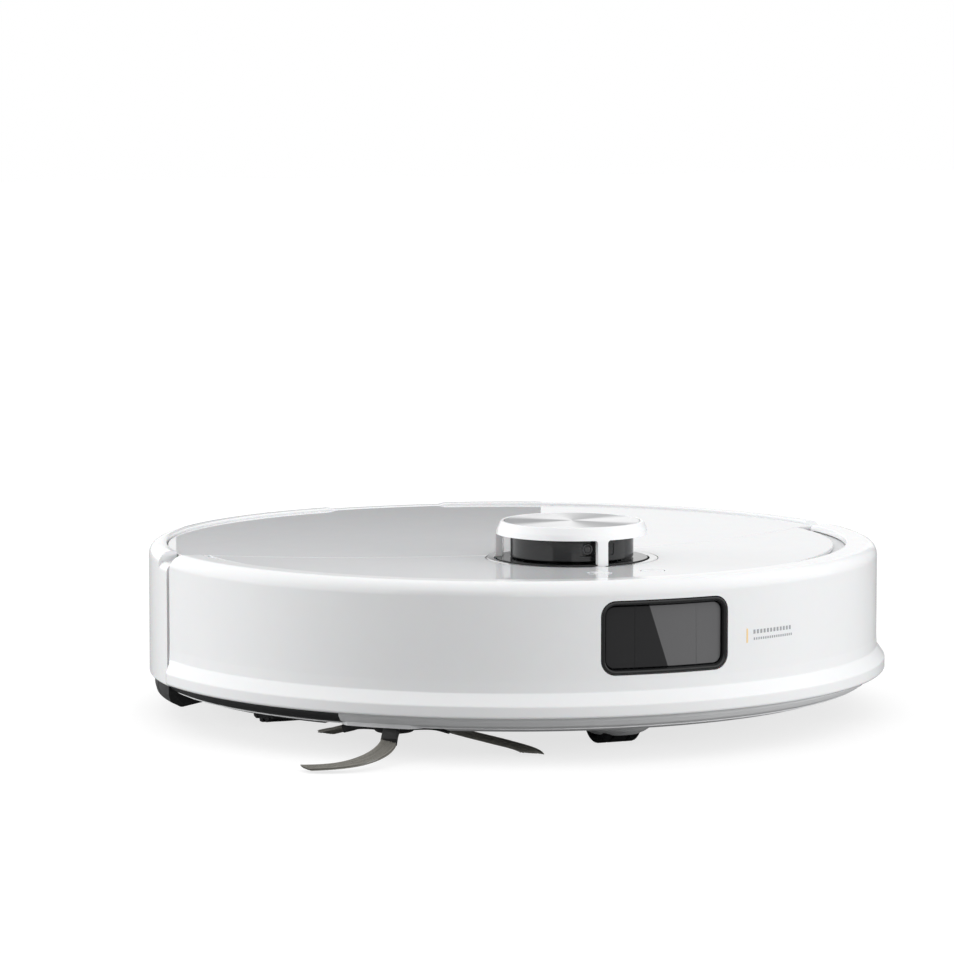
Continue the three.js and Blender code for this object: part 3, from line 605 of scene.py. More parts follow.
hole = trim_radius + TURRET_CLEARANCE
edge_x, edge_y = crossing(panel_edge, SEAM_CENTRE, SEAM_RADIUS + SEAM_GAP / 2)
right_run, left_run, meet = seam_run(SEAM_RADIUS + SEAM_GAP / 2, hole, edge_x)
round_front = arc_points(TURRET, hole, math.pi - meet, 2 * math.pi + meet, 90)
edge_angle = math.atan2(edge_y, edge_x)
front_edge = arc_points((0, 0), panel_edge, edge_angle, -math.pi - edge_angle, 180)
button_low, button_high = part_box("power_button")
button_radius = (button_high.x - button_low.x) / 2
button_places = [(sum(v.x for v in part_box(n)) / 2, sum(v.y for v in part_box(n)) / 2)
                 for n in ("power_button", "dock_button")]
button_holes = [arc_points(place, button_radius + 0.3 * MM, 0, 2 * math.pi, 48)[:-1]
                for place in button_places]
panel_outline = right_run + round_front[1:-1] + left_run + front_edge[1:-1]
front_panel = new_piece(
    "front_panel_plate",
    flat_plate("front_panel_plate", [panel_outline, *button_holes], panel_low.z, panel_high.z, PLATE_EDGE),
    polished_top, "chassis")
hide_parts("front_panel")

edge_x, edge_y = crossing(panel_edge, SEAM_CENTRE, SEAM_RADIUS - SEAM_GAP / 2)
right_run, left_run, meet = seam_run(SEAM_RADIUS - SEAM_GAP / 2, hole, edge_x)
round_back = arc_points(TURRET, hole, math.pi - meet, meet, 60)
small_start = math.atan2(STEP, math.sqrt(panel_edge**2 - STEP**2))
small_end = math.atan2(edge_y, edge_x)
wide_start = math.asin(STEP / cover_edge)
cover_outline = (
    right_run + round_back[1:-1] + left_run
    + arc_points((0, 0), panel_edge, small_end, small_start, 2)[1:]
    + arc_points((0, 0), cover_edge, wide_start, math.pi - wide_start, 200)
    + arc_points((0, 0), panel_edge, math.pi - small_start, math.pi - small_end, 2)[:-1])
cover = new_piece(
    "cover_plate", flat_plate("cover_plate", [cover_outline], cover_low.z, cover_high.z, PLATE_EDGE),
    polished_top, "cover")
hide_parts("top_cover")

# ---- buttons -------------------------------------------------------------------------------------
# Two round keys of white ABS lie flush in the front panel. Each is slightly dished, so that a finger
# finds it.


def turned(name, profile, centre=(0, 0), steps=96):
    """A solid of revolution about an upright axis, from (radius, height) points."""
    on_axis = abs(profile[0][0]) < 1e-9
    form = bmesh.new()
    rows = []
    for i in range(steps):
        angle = 2 * math.pi * i / steps
        rows.append([form.verts.new(at_angle(r, angle, z, centre)) for r, z in profile])
    count = len(profile)
    for here, there in zip(rows, rows[1:] + rows[:1]):
        for k in range(count - 1 if on_axis else count):
            j = (k + 1) % count
            form.faces.new((here[k], here[j], there[j], there[k]))
    bmesh.ops.remove_doubles(form, verts=form.verts, dist=0.002 * MM)
    bmesh.ops.recalc_face_normals(form, faces=form.faces)
    mesh = bpy.data.meshes.new(name)
    form.to_mesh(mesh)
    form.free()
    return smooth(mesh)


def lathe_outline(corners, steps=4):
    """An outline that starts and ends on the axis, with a fillet at each corner between."""
    points = [Vector(corners[0][:2])]
    for i in range(1, len(corners) - 1):
        u, v, radius = corners[i]
        points += fillet((u, v), corners[i - 1][:2], corners[i + 1][:2], radius,
                         steps) if radius else [Vector((u, v))]
    return points + [Vector(corners[-1][:2])]


for node_name, place, body in (("power_button", button_places[0], "power_key"),
                               ("dock_button", button_places[1], "dock_key")):
    key = turned(node_name + "_key", lathe_outline([
        (0, button_low.z, 0), (button_radius, button_low.z, 0), (button_radius, button_high.z, 0.5 * MM),
        (button_radius * 0.82, button_high.z, 2 * MM),
        (button_radius * 0.4, button_high.z - 0.35 * MM, 3 * MM),
        (0, button_high.z - 0.4 * MM, 0)]), place, 64)
    key_piece = new_piece(node_name + "_key", key, polished_top, body)
    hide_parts(node_name)

# ---- sensor window -------------------------------------------------------------------------------
# A black polycarbonate bezel is pressed into the bumper, and a smoked acrylic pane sits two millimetres
# back in it. Two thin gaps divide the pane into three lights for the camera and the laser lines. A lighter
# reflection beyond a slanting line is painted into the pane's colour.

gloss_black, black_tree, black_shader = new_material("polished_black_polycarbonate")
black_shader.inputs["Base Color"].default_value = linear("#141516")
black_shader.inputs["IOR"].default_value = 1.58
black_place = own_place(black_tree)
black_haze = add_node(black_tree, "ShaderNodeTexNoise", Vector=black_place, Scale=1 / (6 * MM), Detail=4.0)
black_range = add_node(black_tree, "ShaderNodeMapRange", Value=black_haze.outputs["Fac"], in_3=0.07,
                       in_4=0.16)
black_tree.links.new(black_range.outputs["Result"], black_shader.inputs["Roughness"])
black_ripple = add_node(black_tree, "ShaderNodeTexNoise", Vector=black_place, Scale=1 / (18 * MM), Detail=1.0)
black_bump = add_node(black_tree, "ShaderNodeBump", Strength=0.05, Distance=0.5 * MM,
                      Height=black_ripple.outputs["Fac"])
black_tree.links.new(black_bump.outputs["Normal"], black_shader.inputs["Normal"])

bezel_front = -window_low.y
BEZEL_WIDTH = 2.4 * MM
BEZEL_DEPTH = 6 * MM


def window_loop(inset, recess):
    """The window's outline, moved in from its edge and back from the skin, on the bumper's own curve."""
    radius = max(WINDOW_CORNER - inset, 1.5 * MM)
    outline = rounded_box_outline(window_low.x + inset, window_low.z + inset, window_high.x - inset,
                                  window_high.z - inset, radius, 10)
    straight = []
    for i, point in enumerate(outline):
        after = outline[(i + 1) % len(outline)]
        pieces_here = max(1, round((after - point).length / (3 * MM)))
        straight += [point.lerp(after, k / pieces_here) for k in range(pieces_here)]
    depth = bezel_front - recess
    return [(p.x, -math.sqrt(depth**2 - p.x**2), p.y) for p in straight]


def even_loop(inset, recess, count=220):
    """A window loop with a set number of points, evenly spaced by share of its length from the same start."""
    loop = [Vector(p) for p in window_loop(inset, recess)]
    lengths = [0.0]
    for here, there in zip(loop, loop[1:] + loop[:1]):
        lengths.append(lengths[-1] + (there - here).length)
    points, k = [], 0
    for i in range(count):
        wanted = lengths[-1] * i / count
        while lengths[k + 1] < wanted:
            k += 1
        share = (wanted - lengths[k]) / (lengths[k + 1] - lengths[k])
        points.append(loop[k].lerp(loop[(k + 1) % len(loop)], share))
    return points


bezel_mesh = swept("bezel", [
    even_loop(0.0, BEZEL_DEPTH), even_loop(0.0, 0.9 * MM), even_loop(0.15 * MM, 0.45 * MM),
    even_loop(0.5 * MM, 0.15 * MM),
    even_loop(0.95 * MM, 0.05 * MM), even_loop(1.4 * MM, 0.2 * MM), even_loop(1.75 * MM, 0.6 * MM),
    even_loop(1.95 * MM, 1.2 * MM), even_loop(BEZEL_WIDTH, 2.6 * MM), even_loop(BEZEL_WIDTH, BEZEL_DEPTH)],
    closed=True)
bezel = new_piece("window_frame", smooth(bezel_mesh, 40), gloss_black, "bumper")
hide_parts("window_bezel")

pane_mesh = swept("pane", [
    even_loop(BEZEL_WIDTH + 0.25 * MM, 5 * MM), even_loop(BEZEL_WIDTH + 0.25 * MM, 2.5 * MM),
    even_loop(BEZEL_WIDTH + 0.4 * MM, 2.35 * MM)])
grid = bmesh.new()
grid.from_mesh(pane_mesh)
bmesh.ops.triangulate(grid, faces=[f for f in grid.faces if len(f.verts) > 4])
grid.to_mesh(pane_mesh)
grid.free()

PAINTED_REFLECTION_EDGE = 15 * MM  # a painted reflection, lighter grey, begins on this slanting line
PAINTED_REFLECTION_BLUR = 0.2 * MM
PAINTED_REFLECTION_LEAN = 0.33
# The smoked acrylic carries a painted reflection: lighter grey beyond a slanting line, set in object
# coordinates.
smoked, smoked_tree, smoked_shader = new_material("smoked_acrylic")
smoked_place = own_place(smoked_tree)
smoked_axes = add_node(smoked_tree, "ShaderNodeSeparateXYZ", Vector=smoked_place)
slant = add_node(smoked_tree, "ShaderNodeMath", {"operation": "MULTIPLY_ADD"},
                 in_0=smoked_axes.outputs["Z"], in_1=PAINTED_REFLECTION_LEAN, in_2=smoked_axes.outputs["X"])
painted_reflection_mask = add_node(smoked_tree, "ShaderNodeMapRange", Value=slant.outputs[0], in_1=PAINTED_REFLECTION_EDGE - PAINTED_REFLECTION_BLUR,
                in_2=PAINTED_REFLECTION_EDGE + PAINTED_REFLECTION_BLUR, in_3=0.0, in_4=1.0)
smoked_and_reflection_colour = add_node(smoked_tree, "ShaderNodeMix", {"data_type": "RGBA"}, in_0=painted_reflection_mask.outputs["Result"],
                         in_6=linear("#2b2b2c"), in_7=linear("#666667"))
smoked_haze = add_node(smoked_tree, "ShaderNodeTexNoise", Vector=smoked_place, Scale=1 / (9 * MM), Detail=3.0)
smoked_range = add_node(smoked_tree, "ShaderNodeMapRange", Value=smoked_haze.outputs["Fac"], in_3=0.05,
                        in_4=0.11)
smoked_tree.links.new(smoked_and_reflection_colour.outputs[2], smoked_shader.inputs["Base Color"])
smoked_tree.links.new(smoked_range.outputs["Result"], smoked_shader.inputs["Roughness"])
smoked_shader.inputs["IOR"].default_value = 1.49
smoked_shader.inputs["Specular IOR Level"].default_value = 0.25

DIVIDER = 15 * MM
DIVIDER_WIDTH = 0.8 * MM
pane_low_z, pane_high_z = window_low.z - 1 * MM, window_high.z + 1 * MM
dividers = [
    swept("divider_cutter", [[(x, -y, z) for x, z in (
        (side * DIVIDER - DIVIDER_WIDTH / 2, pane_low_z), (side * DIVIDER + DIVIDER_WIDTH / 2, pane_low_z),
        (side * DIVIDER + DIVIDER_WIDTH / 2, pane_high_z), (side * DIVIDER - DIVIDER_WIDTH / 2, pane_high_z))]
        for y in (bezel_front - 3.1 * MM, bezel_front + 5 * MM)])
    for side in (1, -1)]
pane = new_piece("window_pane", smooth(cut_away(pane_mesh, *dividers), 30), smoked, "bumper")
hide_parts("window_glass")

# ---- printed mark --------------------------------------------------------------------------------
# A small pad-printed mark beside the window: an amber bar and two rows of plain grey dashes, in ink 0.04
# mm thick.


def ink(name, code):
    """Matt printing ink, a little uneven where the pad pressed it."""
    material, tree, shader = new_material(name)
    blot = add_node(tree, "ShaderNodeTexNoise", Vector=own_place(tree),
                    Scale=1 / (0.3 * MM), Detail=2.0)
    tone = add_node(tree, "ShaderNodeMix", {"data_type": "RGBA"}, in_0=blot.outputs["Fac"],
                    in_6=linear(code), in_7=linear("#ffffff"))
    fade = add_node(tree, "ShaderNodeMapRange", Value=blot.outputs["Fac"], in_3=0.0, in_4=0.25)
    tree.links.new(fade.outputs["Result"], tone.inputs[0])
    tree.links.new(tone.outputs[2], shader.inputs["Base Color"])
    shader.inputs["Roughness"].default_value = 0.45
    return material


def ink_patch(width, bottom, top):
    """A printed rectangle, straight ahead on the bumper's skin."""
    half = width / 2
    return swept("ink_patch", [[(x, -SKIN_RADIUS + back, z) for x, z in (
        (-half, bottom), (half, bottom), (half, top), (-half, top))] for back in (0.02 * MM, -0.04 * MM)])


grey_ink = ink("grey_ink", "#8d8f92")
amber_ink = ink("amber_ink", "#f0c983")
up_axis = (0.0, 0.0, 1.0)
for name, width, bottom, top, count, first, step, paint, slot in (
    ("mark_bar", 0.9, 49.6, 56.0, 1, 13.9, 0, amber_ink, "contact_brass"),
    ("mark_upper_dashes", 1.15, 53.4, 55.2, 12, 15.3, 0.68, grey_ink, "grey_plastic"),
    ("mark_lower_dashes", 0.75, 50.6, 51.7, 18, 15.3, 0.46, grey_ink, "grey_plastic"),
):
    new_piece(name, grown_by(ring_tree, ink_patch(width * MM, bottom * MM, top * MM), count=count,
                             first_angle=math.radians(first), step=math.radians(step), axis=up_axis),
              paint, "bumper")

# ---- laser turret --------------------------------------------------------------------------------
# The laser turns in a glossy black drum under a white cap on three posts. The cap carries a disc of
# aluminium, brushed in circles, with three fans of light and shade painted into its colour, and a
# diamond-cut aluminium ring trims the hole in the panel. Posts and side are one moulding.

PAINTED_FAN_TURN = math.radians(3 * 16.2)  # turns the three painted fans of light and shade


def brushed_metal(name, centre, roughness):
    """Aluminium brushed in circles about a centre, with a painted sheen: fans of light and shade painted into
    its colour.
    """
    material, tree, shader = new_material(name)
    place = own_place(tree)
    from_centre = add_node(tree, "ShaderNodeVectorMath", {"operation": "SUBTRACT"}, in_0=place,
                           in_1=(*centre, 0))
    axes = add_node(tree, "ShaderNodeSeparateXYZ", Vector=from_centre.outputs[0])
    flat = add_node(tree, "ShaderNodeCombineXYZ", X=axes.outputs["X"], Y=axes.outputs["Y"])
    radius = add_node(tree, "ShaderNodeVectorMath", {"operation": "LENGTH"}, in_0=flat.outputs[0])
    rings = add_node(tree, "ShaderNodeTexNoise", {"noise_dimensions": "1D"}, W=radius.outputs["Value"],
                     Scale=1 / (0.11 * MM), Detail=3.0)
    along = add_node(tree, "ShaderNodeVectorMath", {"operation": "CROSS_PRODUCT"}, in_0=(0, 0, 1),
                     in_1=flat.outputs[0])
    line = add_node(tree, "ShaderNodeVectorMath", {"operation": "NORMALIZE"}, in_0=along.outputs[0])
    tone = add_node(tree, "ShaderNodeMapRange", Value=rings.outputs["Fac"], in_1=0.3, in_2=0.7, in_3=0.85,
                    in_4=1.0)
    # Painted sheen: the angle round the centre sets three fans of light and shade in the base colour.
    turn = add_node(tree, "ShaderNodeMath", {"operation": "ARCTAN2"}, in_0=axes.outputs["Y"],
                    in_1=axes.outputs["X"])
    fans = add_node(tree, "ShaderNodeMath", {"operation": "MULTIPLY_ADD"}, in_0=turn.outputs[0], in_1=3.0,
                    in_2=PAINTED_FAN_TURN)
    wave = add_node(tree, "ShaderNodeMath", {"operation": "COSINE"}, in_0=fans.outputs[0])
    sheen = add_node(tree, "ShaderNodeMapRange", {"interpolation_type": "SMOOTHSTEP"}, Value=wave.outputs[0],
                     in_1=-0.9, in_2=0.7)
    painted_fan_colour = add_node(tree, "ShaderNodeMix", {"data_type": "RGBA"}, in_0=sheen.outputs["Result"],
                          in_6=linear("#a5a6a8"), in_7=linear("#fbfbfc"))
    colour = add_node(tree, "ShaderNodeMix", {"data_type": "RGBA", "blend_type": "MULTIPLY"}, in_0=1.0,
                      in_6=painted_fan_colour.outputs[2], in_7=tone.outputs["Result"])
    groove = add_node(tree, "ShaderNodeBump", Strength=0.15, Distance=0.02 * MM, Height=rings.outputs["Fac"])
    tree.links.new(colour.outputs[2], shader.inputs["Base Color"])
    tree.links.new(line.outputs[0], shader.inputs["Tangent"])
    tree.links.new(groove.outputs["Normal"], shader.inputs["Normal"])
    shader.inputs["Metallic"].default_value = 1.0
    shader.inputs["Roughness"].default_value = roughness
    shader.inputs["Anisotropic"].default_value = 0.85
    return material


def turned_ring(name, corners, centre, steps=96):
    """A ring from a closed section of (radius, height, fillet) corners."""
    return turned(name, [tuple(p) for p in rounded(corners, 4)], centre, steps)


aluminium = brushed_metal("circle_brushed_aluminium", TURRET, 0.3)
polished_metal, metal_tree, metal_shader = new_material("diamond_cut_aluminium")
metal_place = own_place(metal_tree)
metal_wipe = add_node(metal_tree, "ShaderNodeTexNoise", Vector=metal_place, Scale=1 / (3 * MM), Detail=4.0)
metal_range = add_node(metal_tree, "ShaderNodeMapRange", Value=metal_wipe.outputs["Fac"], in_3=0.04,
                       in_4=0.12)
metal_tree.links.new(metal_range.outputs["Result"], metal_shader.inputs["Roughness"])
metal_shader.inputs["Base Color"].default_value = linear("#d6d7d8")
metal_shader.inputs["Metallic"].default_value = 1.0
trim_bore = trim_radius - 3.7 * MM
trim_top = trim_low.z + 1.9 * MM
trim = new_piece("turret_trim_ring", turned_ring("turret_trim_ring", [
    (trim_bore, trim_low.z, 0), (trim_radius, trim_low.z, 0), (trim_radius, trim_top - 0.3 * MM, 0.1 * MM),
    (trim_radius - 0.7 * MM, trim_top, 0.3 * MM), (trim_bore, trim_top - 0.2 * MM, 0.2 * MM)], TURRET, 144),
    polished_metal, "chassis")
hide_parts("turret_trim")

base_low, base_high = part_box("turret_base")
cap_low, cap_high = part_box("turret_cap")
drum_low, drum_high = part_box("laser_drum")
cap_radius = (cap_high.x - cap_low.x) / 2
drum_radius = (drum_high.x - drum_low.x) / 2
POST_PLACES = [math.radians(a) for a in (0, 120, 240)]
POST_WIDTH = 5 * MM
POST_INNER = cap_radius - 3.0 * MM
POST_OUTER = cap_radius + 0.2 * MM
CAP_BRIM = cap_high.z - 5.9 * MM  # underside of the cap's side


def sector(name, start, end, near, far, bottom, top, corner):
    """A closed block round the turret's axis between two angles, with round upper corners."""
    columns, steps = [], 72
    for i in range(steps + 1):
        share = (1 - math.cos(math.pi * i / steps)) / 2
        angle = start + (end - start) * share
        inside = min(share, 1 - share) * (end - start) * far
        drop = corner - math.sqrt(max(0.0, corner**2 - (corner - inside) ** 2)) if inside < corner else 0
        columns.append([at_angle(r, angle, z, TURRET) for r, z in (
            (near, bottom), (far, bottom), (far, top - drop), (near, top - drop))])
    return swept(name, columns)


base_edge = (base_high.x - base_low.x) / 2 - 0.5 * MM
base_mesh = turned_ring("turret_base", [
    (drum_radius - 7.4 * MM, base_low.z, 0), (base_edge, base_low.z, 0), (base_edge, base_high.z, 0.3 * MM),
    (drum_radius - 7.4 * MM, base_high.z, 0.3 * MM)], TURRET, 144)
post_slots = [sector("post_slot", a - 0.5 * (POST_WIDTH + 0.8 * MM) / POST_OUTER,
                     a + 0.5 * (POST_WIDTH + 0.8 * MM) / POST_OUTER,
                     POST_INNER - 0.4 * MM, base_edge + 3 * MM, cap_low.z - 1.8 * MM, base_high.z + 3 * MM,
                     0.1 * MM)
              for a in POST_PLACES]
base = new_piece("turret_base_ring", smooth(cut_away(base_mesh, *post_slots)), gloss_black, "chassis")
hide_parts("turret_base")

cap_mesh = turned("turret_cap", lathe_outline([
    (0, cap_high.z - 3.7 * MM, 0), (POST_INNER, cap_high.z - 3.7 * MM, 0.8 * MM),
    (POST_INNER, cap_low.z, 0.3 * MM),
    (POST_OUTER, cap_low.z, 0.3 * MM), (cap_radius, CAP_BRIM, 6 * MM),
    (cap_radius - 0.5 * MM, CAP_BRIM + 2.4 * MM, 2 * MM),
    (cap_radius - 2.0 * MM, cap_high.z - 0.2 * MM, 0.9 * MM),
    (cap_radius - 2.6 * MM, cap_high.z, 0.3 * MM), (cap_radius - 3.4 * MM, cap_high.z, 0.2 * MM),
    (cap_radius - 3.6 * MM, cap_high.z - 0.9 * MM, 0), (0, cap_high.z - 0.9 * MM, 0)]), TURRET, 144)
half_post = 0.5 * POST_WIDTH / POST_OUTER
windows = [sector("turret_window", here + half_post, there - half_post, POST_INNER - 2 * MM,
                  cap_radius + 5 * MM,
                  cap_low.z - 2 * MM, CAP_BRIM, 1.6 * MM)
           for here, there in zip(POST_PLACES, POST_PLACES[1:] + [2 * math.pi])]
cap = new_piece("turret_cap_shell", smooth(cut_away(cap_mesh, *windows), 30), gloss_white, "cap")
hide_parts("turret_cap")

disc_low, disc_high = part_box("cap_disc")
disc_radius = (disc_high.x - disc_low.x) / 2
disc = new_piece("cap_brushed_disc", turned("cap_disc", lathe_outline([
    (0, disc_low.z, 0), (disc_radius, disc_low.z, 0), (disc_radius, disc_high.z - 0.1 * MM, 0.08 * MM),
    (disc_radius - 0.5 * MM, disc_high.z, 0.2 * MM), (disc_radius * 0.5, disc_high.z, 0),
    (0, disc_high.z, 0)]), TURRET, 160),
    aluminium, "cap")
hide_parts("cap_disc")

NECK_RADIUS = 20 * MM
drum_mesh = turned("laser_drum", lathe_outline([
    (0, drum_low.z, 0), (NECK_RADIUS, drum_low.z, 0.3 * MM), (NECK_RADIUS, base_high.z + 0.5 * MM, 0),
    (drum_radius, base_high.z + 0.5 * MM, 0.4 * MM), (drum_radius, drum_high.z, 0.8 * MM),
    (0, drum_high.z, 0)]), TURRET, 128)
LENS_HALF = 9 * MM
eye = rounded_box_outline(-LENS_HALF, drum_high.z - 7.7 * MM, LENS_HALF, drum_high.z - 1.6 * MM, 1.2 * MM, 4)
eye_cut = swept("eye_cutter", [[(p.x, y, p.y) for p in eye]
                               for y in (TURRET[1] - drum_radius - 2 * MM,
                                         TURRET[1] - drum_radius + 1.9 * MM)])
drum = new_piece("laser_drum_body", smooth(cut_away(drum_mesh, eye_cut)), gloss_black, "drum")
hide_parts("laser_drum")


def turned_ahead(name, profile, place, steps=40):
    """A solid of revolution about an axis that points ahead, from (radius, distance ahead) points."""
    mesh = turned(name, profile, (0, 0), steps)
    mesh.transform(Matrix.Translation(place) @ Matrix.Rotation(math.pi / 2, 4, "X"))
    return mesh


# The lenses take the smoked acrylic, so its lighter painted reflection covers them.
for name, x in (("laser_lens", -4 * MM), ("camera_lens", 4 * MM)):
    lens = turned_ahead(name, lathe_outline([
        (0, -0.5 * MM, 0), (2.5 * MM, -0.5 * MM, 0), (2.5 * MM, 0.5 * MM, 0.3 * MM),
        (1.9 * MM, 0.5 * MM, 0.2 * MM),
        (1.7 * MM, 0.1 * MM, 0.2 * MM), (0.9 * MM, 0.5 * MM, 1 * MM), (0, 0.7 * MM, 0)]),
        (x, TURRET[1] - drum_radius + 2.1 * MM, drum_high.z - 4.6 * MM))
    new_piece(name, lens, smoked, "drum")

# ---- moulded inner parts -------------------------------------------------------------------------
# The inner and lower parts are plain mouldings in pale, grey and black ABS, with the fine spark-eroded
# texture of an unpolished mould. Their CAD shapes are right, so they keep them and take only their
# material here.


def moulded(name, dark, light, roughness, grain):
    """Textured ABS with a spark-eroded grain of that size and a slow change of tone."""
    material, tree, shader = new_material(name)
    place = own_place(tree)
    pits = add_node(tree, "ShaderNodeTexVoronoi", Vector=place, Scale=1 / grain)
    soft = add_node(tree, "ShaderNodeTexNoise", Vector=place, Scale=0.4 / grain, Detail=4.0)
    slow = add_node(tree, "ShaderNodeTexNoise", Vector=place, Scale=1 / (22 * MM), Detail=3.0)
    height = add_node(tree, "ShaderNodeMath", {"operation": "ADD"}, in_0=pits.outputs["Distance"],
                      in_1=soft.outputs["Fac"])
    tone = add_node(tree, "ShaderNodeMix", {"data_type": "RGBA"}, in_0=slow.outputs["Fac"],
                    in_6=linear(dark), in_7=linear(light))
    shine = add_node(tree, "ShaderNodeMapRange", Value=soft.outputs["Fac"], in_3=roughness * 0.85,
                     in_4=roughness * 1.2)
    bump = add_node(tree, "ShaderNodeBump", Strength=0.35, Distance=0.05 * MM, Height=height.outputs[0])
    tree.links.new(tone.outputs[2], shader.inputs["Base Color"])
    tree.links.new(shine.outputs["Result"], shader.inputs["Roughness"])
    tree.links.new(bump.outputs["Normal"], shader.inputs["Normal"])
    return material


def metal(name, code, roughness, grain):
    """Bare metal with fine drawn lines along X and a little haze."""
    material, tree, shader = new_material(name)
    place = own_place(tree)
    drawn = add_node(tree, "ShaderNodeMapping", Vector=place, Scale=(0.03, 1, 1))
    lines = add_node(tree, "ShaderNodeTexNoise", Vector=drawn.outputs[0], Scale=1 / grain, Detail=3.0)
    shine = add_node(tree, "ShaderNodeMapRange", Value=lines.outputs["Fac"], in_3=roughness * 0.7,
                     in_4=roughness * 1.4)
    bump = add_node(tree, "ShaderNodeBump", Strength=0.1, Distance=0.02 * MM, Height=lines.outputs["Fac"])
    tree.links.new(shine.outputs["Result"], shader.inputs["Roughness"])
    tree.links.new(bump.outputs["Normal"], shader.inputs["Normal"])
    shader.inputs["Base Color"].default_value = linear(code)
    shader.inputs["Metallic"].default_value = 1.0
    return material


def rubber(name, dark, light, roughness):
    """Soft matt rubber with a fine grain and a grey bloom."""
    material, tree, shader = new_material(name)
    place = own_place(tree)
    bloom = add_node(tree, "ShaderNodeTexNoise", Vector=place, Scale=1 / (5 * MM), Detail=5.0)
    grain = add_node(tree, "ShaderNodeTexNoise", Vector=place, Scale=1 / (0.25 * MM), Detail=2.0)
    tone = add_node(tree, "ShaderNodeMix", {"data_type": "RGBA"}, in_0=bloom.outputs["Fac"],
                    in_6=linear(dark), in_7=linear(light))
    bump = add_node(tree, "ShaderNodeBump", Strength=0.25, Distance=0.04 * MM, Height=grain.outputs["Fac"])
    tree.links.new(tone.outputs[2], shader.inputs["Base Color"])
    tree.links.new(bump.outputs["Normal"], shader.inputs["Normal"])
    shader.inputs["Roughness"].default_value = roughness
    shader.inputs["Sheen Weight"].default_value = 0.1
    return material


pale_plastic = moulded("pale_textured_abs", "#dcddde", "#e4e5e6", 0.5, 0.5 * MM)
grey_plastic = moulded("grey_textured_abs", "#838587", "#8f9193", 0.5, 0.5 * MM)
black_plastic = moulded("black_textured_abs", "#151617", "#1f2021", 0.42, 0.5 * MM)
battery_wrap = moulded("battery_sleeve", "#1d2530", "#253040", 0.35, 1.5 * MM)
bin_plastic = moulded("smoky_polycarbonate", "#5d6063", "#6a6d70", 0.16, 6 * MM)
tank_plastic = moulded("clouded_polypropylene", "#a3adb3", "#b3bcc1", 0.3, 3 * MM)
steel = metal("drawn_steel", "#b9babc", 0.3, 0.4 * MM)
brass = metal("plated_brass", "#cfa765", 0.22, 0.5 * MM)
black_rubber = rubber("black_rubber", "#161718", "#232425", 0.6)
belt_rubber = rubber("belt_rubber", "#101112", "#1b1c1d", 0.7)

circuit, circuit_tree, circuit_shader = new_material("circuit_board")
circuit_place = own_place(circuit_tree)
circuit_lines = add_node(circuit_tree, "ShaderNodeTexBrick", Vector=circuit_place, Scale=1 / (6 * MM),
                         Mortar_Size=0.03,
                         Color1=linear("#1c5537"), Color2=linear("#184a30"), Mortar=linear("#6f8f5e"))
circuit_rise = add_node(circuit_tree, "ShaderNodeSeparateXYZ", Vector=circuit_place)
circuit_chip = add_node(circuit_tree, "ShaderNodeMath", {"operation": "GREATER_THAN"},
                        in_0=circuit_rise.outputs["Z"], in_1=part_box("main_board")[1].z - 0.9 * MM)
circuit_colour = add_node(circuit_tree, "ShaderNodeMix", {"data_type": "RGBA"}, in_0=circuit_chip.outputs[0],
                          in_6=circuit_lines.outputs["Color"], in_7=linear("#1a1b1c"))
circuit_tree.links.new(circuit_colour.outputs[2], circuit_shader.inputs["Base Color"])
circuit_shader.inputs["Roughness"].default_value = 0.4

for material, nodes in (
    (pale_plastic, ["chassis_base", "upper_deck"]),
    (grey_plastic, ["chassis_wall", "wheel_well_left", "wheel_well_right", "wheel_rim_left",
                    "wheel_rim_right",
                    "caster_housing", "brush_housing", "fan_impeller"]),
    (black_plastic, ["sensor_module", "laser_motor", "suspension_arm_left", "suspension_arm_right",
                     "side_brush_motor",
                     "brush_gearbox", "fan_housing"]),
    (gloss_black, ["drop_sensor_front_left", "drop_sensor_front_right", "drop_sensor_side_left",
                   "drop_sensor_side_right"]),
    (steel, ["laser_pulley", "brush_motor", "mop_motor"]),
    (brass, ["charge_contact_left", "charge_contact_right"]),
    (belt_rubber, ["laser_belt"]),
    (bin_plastic, ["dust_bin"]),
    (tank_plastic, ["water_tank"]),
    (battery_wrap, ["battery_pack"]),
    (circuit, ["main_board"]),
):
    for node in nodes:
        cad_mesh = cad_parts[node].data
        for index in range(len(cad_mesh.materials)):
            cad_mesh.materials[index] = material

# ---- rear underbody ------------------------------------------------------------------------------
# A black ABS skirt closes the rear half between the shell and the mop. A thin seam crosses it near each
# end, and a tab at the rear meets the dock.

under_low, under_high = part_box("rear_underbody")
UNDER_RADIUS = SKIN_RADIUS - 2.5 * MM
UNDER_INNER = UNDER_RADIUS - 19.5 * MM
UNDER_SEAM = 30 * MM
TAB_HALF = 45 * MM


def under_column(angle):
    """The skirt's section at an angle, with its face set back where the seam crosses it."""
    ahead = -UNDER_RADIUS * math.cos(angle)
    edge = UNDER_RADIUS - (0.8 * MM if abs(ahead - UNDER_SEAM) < 0.45 * MM else 0)
    outline = rounded([
        (UNDER_INNER, under_low.z + 2.5 * MM, 0.4 * MM), (edge - 6 * MM, under_low.z, 2.5 * MM),
        (edge - 0.9 * MM, under_low.z + 2.6 * MM, 1.8 * MM), (edge, under_low.z + 6 * MM, 2 * MM),
        (edge, under_high.z, 0.3 * MM), (UNDER_INNER, under_high.z, 0.3 * MM)], 4)
    return [at_angle(p.x, angle, p.y) for p in outline]


